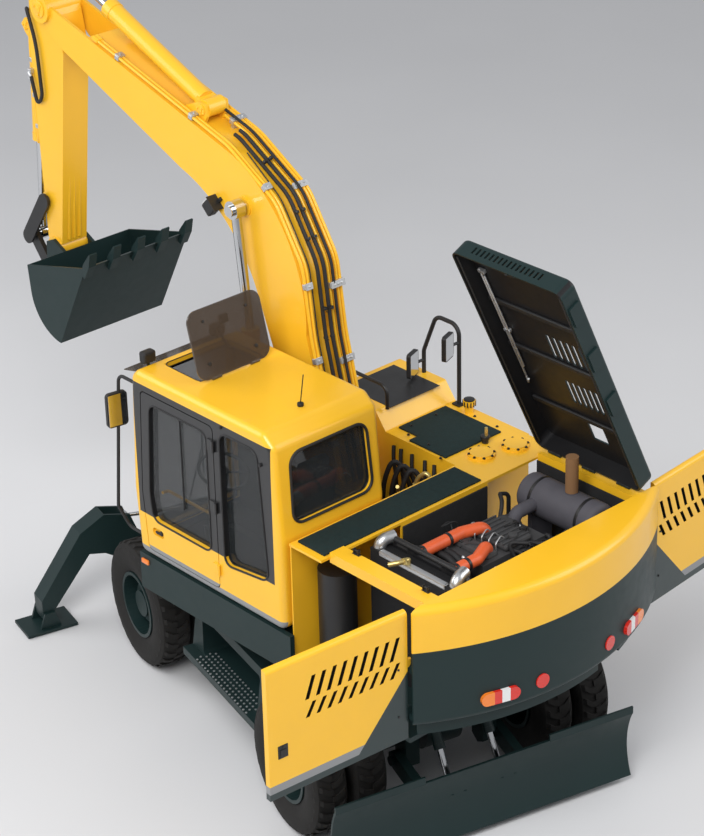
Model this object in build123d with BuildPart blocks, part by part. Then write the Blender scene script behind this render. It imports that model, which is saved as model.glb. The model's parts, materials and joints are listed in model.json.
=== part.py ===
from build123d import *
from math import asin, atan2, cos, degrees, hypot, pi, radians, sin
import os

# Wheeled excavator with its engine covers open, millimetres, +Z up, +X forward, +Y to the left.
# Names that end in _x, _y and _z are places measured from the slew centre on the ground.

# Place of the slew centre in the drawing, so that the middle of the whole machine is at the origin
slew_x = -944.8
slew_y = 37.4
# Turn of the carriage under the upper structure as it stands, in degrees
swing = -14.0

# Fits
running_gap = 0.5
pin_gap = 0.4
side_gap = 6.0
head_ratio = 1.08
pin_ratio = 0.62
cylinder_bottom = 30.0
panel_gap = 8.0

# Tyres and rims
tyre_radius = 527.0
tyre_width = 278.0
tyre_shoulder = 22.0
tyre_bead_width = 204.0
tyre_sides = 48
twin_spacing = 322.0
tyre_span = 2500.0
rim_radius = 262.0
rim_wall = 14.0
rim_lip = 14.0
rim_lip_width = 12.0
rim_disc = 24.0
rim_sides = 36
hub_radius = 165.0
hub_nose = 190.0
hub_cap_radius = 110.0
hub_cap_length = 40.0

# Carriage
front_axle_x = 1600.0
rear_axle_x = -1000.0
axle_z = tyre_radius
axle_tube_radius = 92.0
axle_gear_radius = 185.0
kingpin_y = 590.0
kingpin_radius = 55.0
knuckle_radius = 118.0
knuckle_half = 125.0
fork_thick = 32.0
fork_half = 95.0
steer_angle = 25.0
beam_half = 300.0
beam_low_z = 722.0
beam_top_z = 935.0
beam_front_x = 2396.0
beam_rear_x = -1200.0
table_radius = 590.0
ring_low_z = 1010.0
ring_top_z = 1150.0
ring_radius = 545.0
ring_bore = 400.0

# Step boxes between the wheels
step_front_x = 800.0
step_rear_x = -430.0
step_in_y = 600.0
step_low_z = 455.0
step_tread_z = 560.0
step_tread_y = 1195.0
step_box_z = 930.0
step_box_y = 1060.0
step_foot_y = 1110.0

# Dozer blade on its arms
blade_width = 2490.0
blade_height = 560.0
blade_thick = 22.0
blade_radius = 620.0
blade_back_x = -1700.0
blade_low_z = 62.0
blade_strip = 50.0
blade_strip_thick = 16.0
blade_strip_half = 520.0
blade_pivot_x = -1195.0
blade_pivot_z = 430.0
blade_arm_y = 420.0
blade_arm_thick = 70.0
blade_lug_x = -1600.0
blade_lug_z = 400.0
blade_foot_x = -1250.0
blade_foot_z = 960.0
blade_cylinder_y = 210.0
blade_drop = 12.0
blade_lift = 25.0
blade_lug_in = 42.0
blade_lug_thick = 22.0
blade_tube_radius = 40.0
blade_rod_radius = 24.0
blade_tube_end = 410.0
blade_rod_inside = 105.0

# Outriggers
outrigger_x = 2500.0
outrigger_depth = 170.0
outrigger_plate = 18.0
outrigger_pivot_y = 800.0
outrigger_pivot_z = 420.0
outrigger_foot_y = 1680.0
outrigger_foot_z = 118.0
outrigger_knee_y = 1165.0
outrigger_knee_z = 900.0
outrigger_lug_y = 905.0
outrigger_lug_z = 800.0
outrigger_base_y = -300.0
outrigger_base_z = 640.0
outrigger_cylinder_step = 36.0
outrigger_drop = 9.0
outrigger_lift = 55.0
outrigger_tube_radius = 28.0
outrigger_rod_radius = 17.0
outrigger_tube_end = 680.0
outrigger_rod_inside = 110.0
outrigger_pin_radius = 38.0
pad_length = 440.0
pad_width = 300.0
pad_thick = 25.0
pad_ground = 8.0
pad_play = 5.0
pad_ear = 22.0
pad_tilt = 15.0

# Upper structure
upper_half = 1240.0
tail_radius = 2200.0
tail_corner_x = -1800.0
tail_low_z = 1212.0
tail_band_z = 1930.0
lamp_turn = 18.0
lamp_length = 300.0
lamp_height = 100.0
reflector_turn = 9.0
reflector_radius = 55.0
tail_step_z = 1335.0
tail_step_in = 90.0
tail_edge = 45.0
cowl_edge = 60.0
deck_z = 2240.0
frame_low_z = ring_top_z + running_gap
frame_plate = 40.0
frame_beam_half = 300.0
frame_beam_top_z = 1500.0
skirt_low_z = 1180.0
skirt_top_z = 1490.0
skirt_thick = 40.0
front_x = 1210.0

# Engine bay and its covers
bay_front_x = -850.0
bay_rear_x = -1790.0
bay_left_y = 975.0
bay_right_y = -980.0
side_door_front_x = -560.0
side_door_rear_x = -1755.0
side_door_low_z = 1235.0
side_door_thick = 45.0
side_door_open = 85.0
side_hinge_half = 14.0
side_hinge_z = (1420.0, 1800.0)
side_door_edge = 30.0
louvre_count = 9
louvre_pitch = 88.0
louvre_width = 34.0
louvre_rows = ((1765.0, 1875.0), (1905.0, 2075.0))
louvre_first = 150.0
hood_hinge_y = -1040.0
hood_hinge_z = 2275.0
hood_open = 64.0
hood_height = 150.0
hood_wall = 14.0
hood_corner = 70.0
hood_edge = 30.0
hood_slot_width = 30.0
hood_slot_length = 240.0
hood_slot_rows = ((52.0, 62.0, 9, 1183.0), (159.0, 55.0, 8, 705.0))
hood_vents = 16
hood_vent_pitch = 42.0
hood_rib_places = (830.0, 1285.0, 1740.0)
engine_front_x = -1040.0
engine_rear_x = -1640.0
engine_left_y = 330.0
engine_right_y = -480.0
engine_low_z = 1330.0
engine_top_z = 2080.0
charge_pipe_x = (-1160.0, -1500.0)
silencer_y = -760.0
silencer_z = 2080.0
inlet_x = -1150.0
stack_x = -1400.0

# Cab
cab_rear_x = -490.0
cab_front_x = 1200.0
cab_right_y = 240.0
cab_floor_z = 1500.0
cab_roof_z = 3040.0
cab_wall = 45.0
cab_corner = 70.0
cab_edge = 50.0
window_corner = 60.0
cab_top_front_x = 1150.0
cab_brow = 60.0
door_rear_x = 215.0
door_front_x = 1050.0
door_low_z = 1560.0
door_top_z = 2900.0
door_thick = 38.0
door_frame = 75.0
door_hinge_radius = 12.5
door_hinge_x = door_rear_x - 6.0
door_hinge_y = upper_half + door_hinge_radius + running_gap
glass_thick = 6.0
hatch_front_x = 1080.0
hatch_rear_x = 560.0
hatch_left_y = 1060.0
hatch_right_y = 380.0
hatch_thick = 14.0
hatch_open = 75.0

# Boom
boom_y = -100.0
boom_half = 170.0
boom_foot_x = 300.0
boom_foot_z = 1700.0
boom_length = 4600.0
boom_angle = 44.7
boom_lift = 14.0
boom_drop = 74.0
boom_foot_radius = 130.0
boom_tip_radius = 115.0
fork_depth = 480.0
boom_boss_along = 2210.0
boom_boss_up = 990.0
boom_ear = 36.0
boom_cylinder_reach = 650.0
boom_cylinder_angle = -28.0
boom_cylinder_side = 256.0
boom_tube_radius = 66.0
boom_rod_radius = 38.0
boom_tube_end = 1640.0
boom_rod_inside = 240.0
boom_lug_in = 52.0
boom_lug_thick = 20.0
boom_boss_out = 14.0

# Arm
arm_length = 2100.0
arm_angle = -86.5
arm_half = 125.0
arm_in = 10.0
arm_out = 105.0
arm_tip_radius = 95.0
arm_tail_along = -460.0
arm_tail_up = 190.0
arm_base_along = 3010.0
arm_base_up = 1045.0
arm_tube_radius = 72.0
arm_rod_radius = 42.0
arm_tube_end = 1300.0
arm_rod_inside = 150.0
arm_lug_in = 80.0
arm_lug_thick = 28.0
arm_throat = -245.0

# Bucket and its linkage
bucket_tip_angle = 166.4
bucket_half = 525.0
bucket_wall = 18.0
bucket_side = 16.0
bucket_lip = 976.0
bucket_corner_along = 391.0
bucket_corner_deep = 671.0
bucket_back_along = 150.0
bucket_back_deep = 20.0
bucket_ear_thick = 28.0
bucket_ear_in = 134.0
bucket_ear_radius = 88.0
link_pin_reach = 360.0
link_pin_angle = 108.0
rocker_along = 1700.0
rocker_up = 90.0
rocker_joint_along = 2105.0
rocker_joint_up = 330.0
rocker_thick = 24.0
rocker_radius = 62.0
joint_radius = 36.0
joint_in = 60.0
bucket_base_along = 260.0
bucket_base_up = 330.0
bucket_tube_radius = 58.0
bucket_rod_radius = 34.0
bucket_tube_end = 1010.0
bucket_rod_inside = 140.0
bucket_lug_in = 64.0
bucket_lug_thick = 24.0
bucket_curl = 15.0
bucket_dump = 145.0
tooth_count = 5
tooth_length = 150.0
tooth_width = 74.0
tooth_thick = 60.0

# Planes that the pieces are drawn on
machine = Plane(origin=(slew_x, slew_y, 0))
carriage = Plane(origin=(slew_x, slew_y, 0), x_dir=(cos(radians(swing)), sin(radians(swing)), 0))


def tilted(base, x, y, z, angle):
    """Frame whose X axis is turned up by an angle about the machine's cross axis."""
    along = base.x_dir * cos(radians(angle)) + base.z_dir * sin(radians(angle))
    up = base.z_dir * cos(radians(angle)) - base.x_dir * sin(radians(angle))
    return Plane(origin=base.from_local_coords(Vector(x, y, z)), x_dir=along, z_dir=up)


def turned(base, x, y, z, angle):
    """Frame turned about the upright axis."""
    along = base.x_dir * cos(radians(angle)) + base.y_dir * sin(radians(angle))
    return Plane(origin=base.from_local_coords(Vector(x, y, z)), x_dir=along, z_dir=base.z_dir)


def rolled(base, x, y, z, angle):
    """Frame turned about the frame's own X axis, left side up."""
    up = base.z_dir * cos(radians(angle)) - base.y_dir * sin(radians(angle))
    return Plane(origin=base.from_local_coords(Vector(x, y, z)), x_dir=base.x_dir, z_dir=up)


def side(base, y):
    """Drawing plane seen from the right: sketch X forward, sketch Y up, facing -Y."""
    return Plane(origin=base.from_local_coords(Vector(0, y, 0)), x_dir=base.x_dir, z_dir=-base.y_dir)


def front(base, x):
    """Drawing plane across the machine: sketch X to the left, sketch Y up, facing +X."""
    return Plane(origin=base.from_local_coords(Vector(x, 0, 0)), x_dir=base.y_dir, z_dir=base.x_dir)


def top(base, z):
    """Drawing plane seen from above: sketch X forward, sketch Y to the left."""
    return Plane(origin=base.from_local_coords(Vector(0, 0, z)), x_dir=base.x_dir, z_dir=base.z_dir)


def bar(base, x, z, radius, y_from, y_to, mode=Mode.ADD):
    """Round bar across the machine."""
    with BuildSketch(side(base, (y_from + y_to) / 2)) as disc:
        with Locations((x, z)):
            Circle(radius)
    extrude(disc.sketch, amount=abs(y_to - y_from) / 2, both=True, mode=mode)


def post(base, x, y, radius, z_from, z_to, mode=Mode.ADD):
    """Upright round bar."""
    with BuildSketch(top(base, z_from)) as disc:
        with Locations((x, y)):
            Circle(radius)
    extrude(disc.sketch, amount=z_to - z_from, mode=mode)


def shaft(base, y, z, radius, x_from, x_to, mode=Mode.ADD):
    """Round bar along the machine."""
    with BuildSketch(front(base, x_from)) as disc:
        with Locations((y, z)):
            Circle(radius)
    extrude(disc.sketch, amount=x_to - x_from, mode=mode)


def block(base, x_from, x_to, y_from, y_to, z_from, z_to, mode=Mode.ADD):
    """Rectangular block between two corners."""
    with BuildSketch(top(base, z_from)) as foot:
        with Locations(((x_from + x_to) / 2, (y_from + y_to) / 2)):
            Rectangle(x_to - x_from, abs(y_to - y_from))
    extrude(foot.sketch, amount=z_to - z_from, mode=mode)


def side_plate(base, points, y_from, y_to, mode=Mode.ADD):
    """Plate cut to a side outline of forward and up places."""
    with BuildSketch(side(base, (y_from + y_to) / 2)) as outline:
        with BuildLine():
            Polyline(*points, close=True)
        make_face()
    extrude(outline.sketch, amount=abs(y_to - y_from) / 2, both=True, mode=mode)


def round_side_plate(base, points, radius, y_from, y_to, mode=Mode.ADD):
    """Plate cut to a side outline whose corners are all rounded."""
    with BuildSketch(side(base, (y_from + y_to) / 2)) as outline:
        with BuildLine():
            FilletPolyline(*points, radius=radius, close=True)
        make_face()
    extrude(outline.sketch, amount=abs(y_to - y_from) / 2, both=True, mode=mode)


def round_cross_plate(base, points, radius, x_from, x_to, mode=Mode.ADD):
    """Plate cut to an outline seen from the front, with rounded corners."""
    with BuildSketch(front(base, x_from)) as outline:
        with BuildLine():
            FilletPolyline(*points, radius=radius, close=True)
        make_face()
    extrude(outline.sketch, amount=x_to - x_from, mode=mode)


def round_block(base, x_from, x_to, y_from, y_to, z_from, z_to, radius, mode=Mode.ADD):
    """Block whose upright edges are rounded."""
    with BuildSketch(top(base, z_from)) as foot:
        with Locations(((x_from + x_to) / 2, (y_from + y_to) / 2)):
            RectangleRounded(x_to - x_from, abs(y_to - y_from), radius)
    extrude(foot.sketch, amount=z_to - z_from, mode=mode)


def pipe_run(base, points, radius, bend):
    """Round pipe along straight runs with bends between them."""
    with BuildLine() as run:
        FilletPolyline(*[base.from_local_coords(Vector(*point)) for point in points], radius=bend)
    with BuildSketch(Plane(origin=run.line @ 0, z_dir=run.line % 0)) as section:
        Circle(radius)
    sweep(section.sketch, path=run.line)


def cross_plate(base, points, x_from, x_to, mode=Mode.ADD):
    """Plate cut to an outline seen from the front, of left and up places."""
    with BuildSketch(front(base, x_from)) as outline:
        with BuildLine():
            Polyline(*points, close=True)
        make_face()
    extrude(outline.sketch, amount=x_to - x_from, mode=mode)


def flat_plate(base, points, z_from, z_to, mode=Mode.ADD):
    """Plate cut to an outline seen from above, of forward and left places."""
    with BuildSketch(top(base, z_from)) as outline:
        with BuildLine():
            Polyline(*points, close=True)
        make_face()
    extrude(outline.sketch, amount=z_to - z_from, mode=mode)


def ring_stack(base, x, z, sections, sides):
    """Ring of flat facets about a cross axis, through (left place, radius) sections."""
    faces = []
    for y, radius in sections:
        with BuildSketch(side(base, y)) as section:
            with Locations((x, z)):
                RegularPolygon(radius, sides)
        faces.append(section.sketch)
    return faces


os.makedirs("parts", exist_ok=True)

# Wheels: two tyres on one deep rim at each corner
outer_tyre_y = tyre_span / 2 - tyre_width / 2
inner_tyre_y = outer_tyre_y - twin_spacing
disc_y = (outer_tyre_y + inner_tyre_y) / 2
axle_end_y = disc_y - rim_disc / 2 - running_gap
wheel_places = {
    "front_left": (front_axle_x, 1),
    "front_right": (front_axle_x, -1),
    "rear_left": (rear_axle_x, 1),
    "rear_right": (rear_axle_x, -1),
}


def tyre_sections(middle_y):
    """Outline of one tyre from bead to bead."""
    half = tyre_width / 2
    bead = tyre_bead_width / 2
    flank_radius = (rim_radius + tyre_radius) / 2
    return [
        (middle_y - bead, rim_radius + 4),
        (middle_y - half, flank_radius),
        (middle_y - half + tyre_shoulder, tyre_radius - tyre_shoulder),
        (middle_y - half + 2 * tyre_shoulder, tyre_radius),
        (middle_y + half - 2 * tyre_shoulder, tyre_radius),
        (middle_y + half - tyre_shoulder, tyre_radius - tyre_shoulder),
        (middle_y + half, flank_radius),
        (middle_y + bead, rim_radius + 4),
    ]


for corner, (axle_x, hand) in wheel_places.items():
    with BuildPart() as tyres:
        for tyre_y in (outer_tyre_y * hand, inner_tyre_y * hand):
            sections = ring_stack(carriage, axle_x, axle_z, tyre_sections(tyre_y), tyre_sides)
            loft(sections, ruled=True)
        with BuildSketch(side(carriage, disc_y * hand)) as bore:
            with Locations((axle_x, axle_z)):
                RegularPolygon(rim_radius, tyre_sides)
        extrude(bore.sketch, amount=tyre_span / 4, both=True, mode=Mode.SUBTRACT)
    tyres.part.label = f"tyres_{corner}"
    export_step(tyres.part, f"parts/tyres_{corner}.step")

    with BuildPart() as rim:
        far = outer_tyre_y + tyre_width / 2 - 18
        near = inner_tyre_y - tyre_width / 2 + 18
        barrel = rim_radius * cos(pi / rim_sides) - running_gap
        for y_from, y_to, radius in (
            (near, far, barrel),
            (near, near + rim_lip_width, barrel + rim_lip),
            (far - rim_lip_width, far, barrel + rim_lip),
        ):
            with BuildSketch(side(carriage, (y_from + y_to) / 2 * hand)) as hoop:
                with Locations((axle_x, axle_z)):
                    RegularPolygon(radius, rim_sides)
            extrude(hoop.sketch, amount=(y_to - y_from) / 2, both=True)
        for y_from, y_to in ((near - 1, disc_y - rim_disc / 2), (disc_y + rim_disc / 2, far + 1)):
            with BuildSketch(side(carriage, (y_from + y_to) / 2 * hand)) as dish:
                with Locations((axle_x, axle_z)):
                    RegularPolygon(barrel - rim_wall, rim_sides)
            extrude(dish.sketch, amount=(y_to - y_from) / 2, both=True, mode=Mode.SUBTRACT)
        hub_face = disc_y + rim_disc / 2 + hub_nose
        bar(carriage, axle_x, axle_z, hub_radius, disc_y * hand, hub_face * hand)
        bar(carriage, axle_x, axle_z, hub_cap_radius, hub_face * hand, (hub_face + hub_cap_length) * hand)
    rim.part.label = f"rim_{corner}"
    export_step(rim.part, f"parts/rim_{corner}.step")

# Steering knuckles between the front axle's forks and the hubs
for name, hand in (("left", 1), ("right", -1)):
    with BuildPart() as knuckle:
        post(carriage, front_axle_x, kingpin_y * hand, knuckle_radius, axle_z - knuckle_half, axle_z + knuckle_half)
        bar(carriage, front_axle_x, axle_z, knuckle_radius - 8, kingpin_y * hand, axle_end_y * hand)
        flat_plate(
            carriage,
            [
                (front_axle_x - 40, (kingpin_y + 60) * hand),
                (front_axle_x - 40, (kingpin_y - 60) * hand),
                (front_axle_x - 260, (kingpin_y - 60) * hand),
                (front_axle_x - 260, (kingpin_y + 10) * hand),
            ],
            axle_z - 100,
            axle_z - 70,
        )
    knuckle.part.label = f"knuckle_{name}"
    export_step(knuckle.part, f"parts/knuckle_{name}.step")

# Front axle: gear housing, tubes and the forks that hold the kingpins
with BuildPart() as axles:
    fork_in_y = kingpin_y - knuckle_radius - side_gap
    bar(carriage, front_axle_x, axle_z, axle_tube_radius, -fork_in_y + 10, fork_in_y - 10)
    bar(carriage, front_axle_x, axle_z, axle_gear_radius, -150, 150)
    block(carriage, front_axle_x - 120, front_axle_x + 120, -140, 140, axle_z, beam_low_z)
    fork_top = knuckle_half + pin_gap + fork_thick
    for hand in (1, -1):
        block(
            carriage, front_axle_x - fork_half, front_axle_x + fork_half,
            (fork_in_y - 40) * hand, fork_in_y * hand, axle_z - fork_top, axle_z + fork_top,
        )
        for z_from in (axle_z - fork_top, axle_z + knuckle_half + pin_gap):
            block(
                carriage, front_axle_x - fork_half, front_axle_x + fork_half,
                (fork_in_y - 20) * hand, (kingpin_y + 40) * hand, z_from, z_from + fork_thick,
            )
    shaft(carriage, 0, axle_z, 60, front_axle_x - 420, front_axle_x)

    # rear axle: rigid, bolted under the beams
    bar(carriage, rear_axle_x, axle_z, axle_tube_radius + 13, -axle_end_y, axle_end_y)
    bar(carriage, rear_axle_x, axle_z, axle_gear_radius, -150, 150)
    for hand in (1, -1):
        block(
            carriage, rear_axle_x - 100, rear_axle_x + 100,
            (beam_half - 110) * hand, (beam_half - 10) * hand, axle_z, beam_low_z,
        )
    shaft(carriage, 0, axle_z, 60, rear_axle_x, rear_axle_x + 420)
axles.part.label = "axles"
export_step(axles.part, "parts/axles.step")

plate_in = outrigger_depth / 2 + side_gap

# Chassis: box beam that carries the slew table, the axles, the blade and the outrigger frame
with BuildPart() as chassis:
    side_plate(
        carriage,
        [
            (beam_rear_x, beam_low_z),
            (beam_front_x - 500, beam_low_z),
            (beam_front_x, beam_low_z - 240),
            (beam_front_x, beam_low_z + 60),
            (beam_front_x - 700, beam_top_z),
            (beam_rear_x + 300, beam_top_z),
            (beam_rear_x, beam_top_z - 60),
        ],
        -beam_half, beam_half,
    )
    post(carriage, 0, 0, table_radius, beam_top_z - 90, ring_low_z)
    block(carriage, -300, 500, -220, 220, axle_z - 60, beam_low_z + 10)
    for hand in (1, -1):
        side_plate(
            carriage,
            [
                (blade_pivot_x + 90, beam_low_z + 40),
                (blade_pivot_x - 80, beam_low_z + 40),
                (blade_pivot_x - 80, blade_pivot_z - 40),
                (blade_pivot_x, blade_pivot_z - 85),
                (blade_pivot_x + 80, blade_pivot_z - 40),
            ],
            (beam_half - 30) * hand,
            (blade_arm_y - blade_arm_thick / 2 - running_gap) * hand,
        )
        bar(carriage, blade_pivot_x, blade_pivot_z, 38, beam_half * hand, (blade_arm_y + blade_arm_thick / 2 + 20) * hand)
        block(
            carriage, step_rear_x + 150, step_rear_x + 250, (beam_half - 10) * hand,
            (step_in_y - 0.3) * hand, beam_low_z + 40, beam_low_z + 160,
        )
        block(
            carriage, step_front_x - 250, step_front_x - 150, (beam_half - 10) * hand,
            (step_in_y - 0.3) * hand, beam_low_z + 40, beam_low_z + 160,
        )
        for lug_y in (blade_cylinder_y - blade_lug_in - blade_lug_thick / 2, blade_cylinder_y + blade_lug_in + blade_lug_thick / 2):
            side_plate(
                carriage,
                [
                    (beam_rear_x + 190, beam_top_z - 20),
                    (beam_rear_x + 10, beam_top_z - 170),
                    (blade_foot_x - 20, blade_foot_z - 45),
                    (blade_foot_x - 45, blade_foot_z + 5),
                    (blade_foot_x - 10, blade_foot_z + 48),
                    (blade_foot_x + 50, blade_foot_z + 40),
                ],
                (lug_y - blade_lug_thick / 2) * hand, (lug_y + blade_lug_thick / 2) * hand,
            )
    # outrigger frame: two cross plates with the legs between them
    for x_from in (outrigger_x - plate_in - outrigger_plate, outrigger_x + plate_in):
        cross_plate(
            carriage,
            [
                (-outrigger_pivot_y - 90, outrigger_pivot_z - 40),
                (-outrigger_pivot_y - 60, outrigger_pivot_z - 95),
                (outrigger_pivot_y + 60, outrigger_pivot_z - 95),
                (outrigger_pivot_y + 90, outrigger_pivot_z - 40),
                (outrigger_pivot_y + 60, outrigger_pivot_z + 75),
                (430, outrigger_base_z + 85),
                (-430, outrigger_base_z + 85),
                (-outrigger_pivot_y - 60, outrigger_pivot_z + 75),
            ],
            x_from, x_from + outrigger_plate,
        )
    block(
        carriage, outrigger_x - plate_in - 1, outrigger_x + plate_in + 1,
        -300, 300, outrigger_pivot_z - 95, outrigger_pivot_z - 70,
    )
    block(
        carriage, beam_front_x - 10, outrigger_x - plate_in - outrigger_plate + 1,
        -beam_half, beam_half, outrigger_base_z - 180, outrigger_base_z + 85,
    )
chassis.part.label = "chassis"
export_step(chassis.part, "parts/chassis.step")

# Slew ring
with BuildPart() as slew_ring:
    post(carriage, 0, 0, ring_radius, ring_low_z, ring_top_z)
    post(carriage, 0, 0, ring_bore, ring_low_z, ring_top_z, mode=Mode.SUBTRACT)
slew_ring.part.label = "slew_ring"
export_step(slew_ring.part, "parts/slew_ring.step")

# Step boxes
with BuildPart() as step_boxes:
    for hand in (1, -1):
        cross_plate(
            carriage,
            [
                (step_in_y * hand, step_box_z),
                (step_box_y * hand, step_box_z),
                (step_foot_y * hand, step_tread_z),
                (step_tread_y * hand, step_tread_z),
                (step_tread_y * hand, step_low_z + 40),
                (step_foot_y * hand, step_low_z),
                (step_in_y * hand, step_low_z),
            ],
            step_rear_x, step_front_x,
        )
        round_side_plate(
            carriage,
            [
                (step_rear_x + 120, step_tread_z + 14),
                (step_front_x - 190, step_tread_z + 14),
                (step_front_x - 110, step_box_z - 70),
                (step_rear_x + 120, step_box_z - 70),
            ],
            35, (step_in_y + 190) * hand, (step_tread_y + 20) * hand, mode=Mode.SUBTRACT,
        )
step_boxes.part.label = "step_boxes"
export_step(step_boxes.part, "parts/step_boxes.step")

# Dozer blade with its push arms
blade_top_z = blade_low_z + blade_height
with BuildPart() as blade:
    bow = blade_radius - (blade_radius ** 2 - (blade_height / 2) ** 2) ** 0.5
    with BuildSketch(side(carriage, 0)) as mouldboard:
        with BuildLine():
            rear_arc = ThreePointArc(
                (blade_back_x - 100, blade_low_z),
                (blade_back_x - 100 + bow, blade_low_z + blade_height / 2),
                (blade_back_x - 100, blade_top_z),
            )
            Line(rear_arc @ 1, (blade_back_x - 100 + blade_thick, blade_top_z))
            ThreePointArc(
                (blade_back_x - 100 + blade_thick, blade_top_z),
                (blade_back_x - 100 + bow + blade_thick, blade_low_z + blade_height / 2),
                (blade_back_x - 100 + blade_thick, blade_low_z),
            )
            Line((blade_back_x - 100 + blade_thick, blade_low_z), rear_arc @ 0)
        make_face()
    extrude(mouldboard.sketch, amount=blade_width / 2, both=True)
    block(
        carriage, blade_back_x - 100 + bow, blade_back_x + 35,
        -blade_width / 2 + 150, blade_width / 2 - 150, blade_low_z + 190, blade_low_z + 325,
    )
    for hand in (1, -1):
        block(
            carriage, blade_back_x - 100, blade_back_x - 100 + blade_strip_thick,
            blade_strip_half * hand, (blade_width / 2) * hand, blade_top_z - 10, blade_top_z + blade_strip,
        )
        side_plate(
            carriage,
            [
                (blade_pivot_x + 55, blade_pivot_z - 45),
                (blade_pivot_x + 55, blade_pivot_z + 45),
                (blade_pivot_x - 20, blade_pivot_z + 70),
                (blade_back_x, blade_low_z + 330),
                (blade_back_x, blade_low_z + 190),
                (blade_pivot_x - 20, blade_pivot_z - 70),
            ],
            (blade_arm_y - blade_arm_thick / 2) * hand,
            (blade_arm_y + blade_arm_thick / 2) * hand,
        )
        bar(
            carriage, blade_pivot_x, blade_pivot_z, 38 + pin_gap,
            (blade_arm_y - blade_arm_thick / 2 - 2) * hand, (blade_arm_y + blade_arm_thick / 2 + 2) * hand,
            mode=Mode.SUBTRACT,
        )
        for lug_y in (blade_cylinder_y - blade_lug_in - blade_lug_thick / 2, blade_cylinder_y + blade_lug_in + blade_lug_thick / 2):
            side_plate(
                carriage,
                [
                    (blade_back_x + 20, blade_low_z + 300),
                    (blade_back_x + 60, blade_low_z + 280),
                    (blade_lug_x + 45, blade_lug_z - 30),
                    (blade_lug_x + 45, blade_lug_z + 35),
                    (blade_lug_x - 10, blade_lug_z + 50),
                    (blade_back_x - 40, blade_low_z + 330),
                ],
                (lug_y - blade_lug_thick / 2) * hand, (lug_y + blade_lug_thick / 2) * hand,
            )
blade.part.label = "dozer_blade"
export_step(blade.part, "parts/dozer_blade.step")


def pull_frame(base, x_foot, y, z_foot, x_eye, z_eye):
    """Frame at a cylinder's foot whose X axis points at its rod's eye."""
    return tilted(base, x_foot, y, z_foot, degrees(atan2(z_eye - z_foot, x_eye - x_foot)))


def tube_body(base, tube_end, radius, rod_radius, eye_radius, eye_half, pin_from=0.0, pin_to=0.0):
    """Bored cylinder tube with its head, its foot eye and the pin that it turns on."""
    with BuildSketch(front(base, eye_radius * 0.6)) as neck:
        Rectangle(2 * eye_half - 4, eye_radius)
    extrude(neck.sketch, amount=eye_radius)
    with BuildSketch(front(base, eye_radius + cylinder_bottom - 8)) as round_tube:
        Circle(radius)
    extrude(round_tube.sketch, amount=tube_end - eye_radius - cylinder_bottom + 8)
    with BuildSketch(front(base, tube_end - radius * 1.1)) as head:
        Circle(radius * head_ratio)
    extrude(head.sketch, amount=radius * 1.1)
    with BuildSketch(front(base, eye_radius + 2 * cylinder_bottom)) as bore:
        Circle(rod_radius + pin_gap)
    extrude(bore.sketch, amount=tube_end, mode=Mode.SUBTRACT)
    bar(base, 0, 0, eye_radius, -eye_half, eye_half)
    if pin_to > pin_from:
        bar(base, 0, 0, eye_radius * pin_ratio, pin_from, pin_to)


def rod_body(base, span, rod_start, radius, eye_radius, eye_half, pin_from, pin_to):
    """Cylinder rod with its eye and the pin that it carries."""
    with BuildSketch(front(base, rod_start)) as round_rod:
        Circle(radius)
    extrude(round_rod.sketch, amount=span - rod_start - eye_radius * 0.5)
    bar(base, span, 0, eye_radius, -eye_half, eye_half)
    bar(base, span, 0, eye_radius * pin_ratio, pin_from, pin_to)


# Blade cylinders
blade_span = hypot(blade_lug_x - blade_foot_x, blade_lug_z - blade_foot_z)
with BuildPart() as blade_tubes:
    for hand in (1, -1):
        line = pull_frame(carriage, blade_foot_x, blade_cylinder_y * hand, blade_foot_z, blade_lug_x, blade_lug_z)
        tube_body(line, blade_tube_end, blade_tube_radius, blade_rod_radius, 45, blade_lug_in - running_gap)
blade_tubes.part.label = "blade_cylinder_tubes"
export_step(blade_tubes.part, "parts/blade_cylinder_tubes.step")
with BuildPart() as blade_rods:
    for hand in (1, -1):
        line = pull_frame(carriage, blade_foot_x, blade_cylinder_y * hand, blade_foot_z, blade_lug_x, blade_lug_z)
        rod_body(line, blade_span, blade_tube_end - blade_rod_inside, blade_rod_radius, 40, blade_lug_in - running_gap, -1, 1)
blade_rods.part.label = "blade_cylinder_rods"
export_step(blade_rods.part, "parts/blade_cylinder_rods.step")

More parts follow.
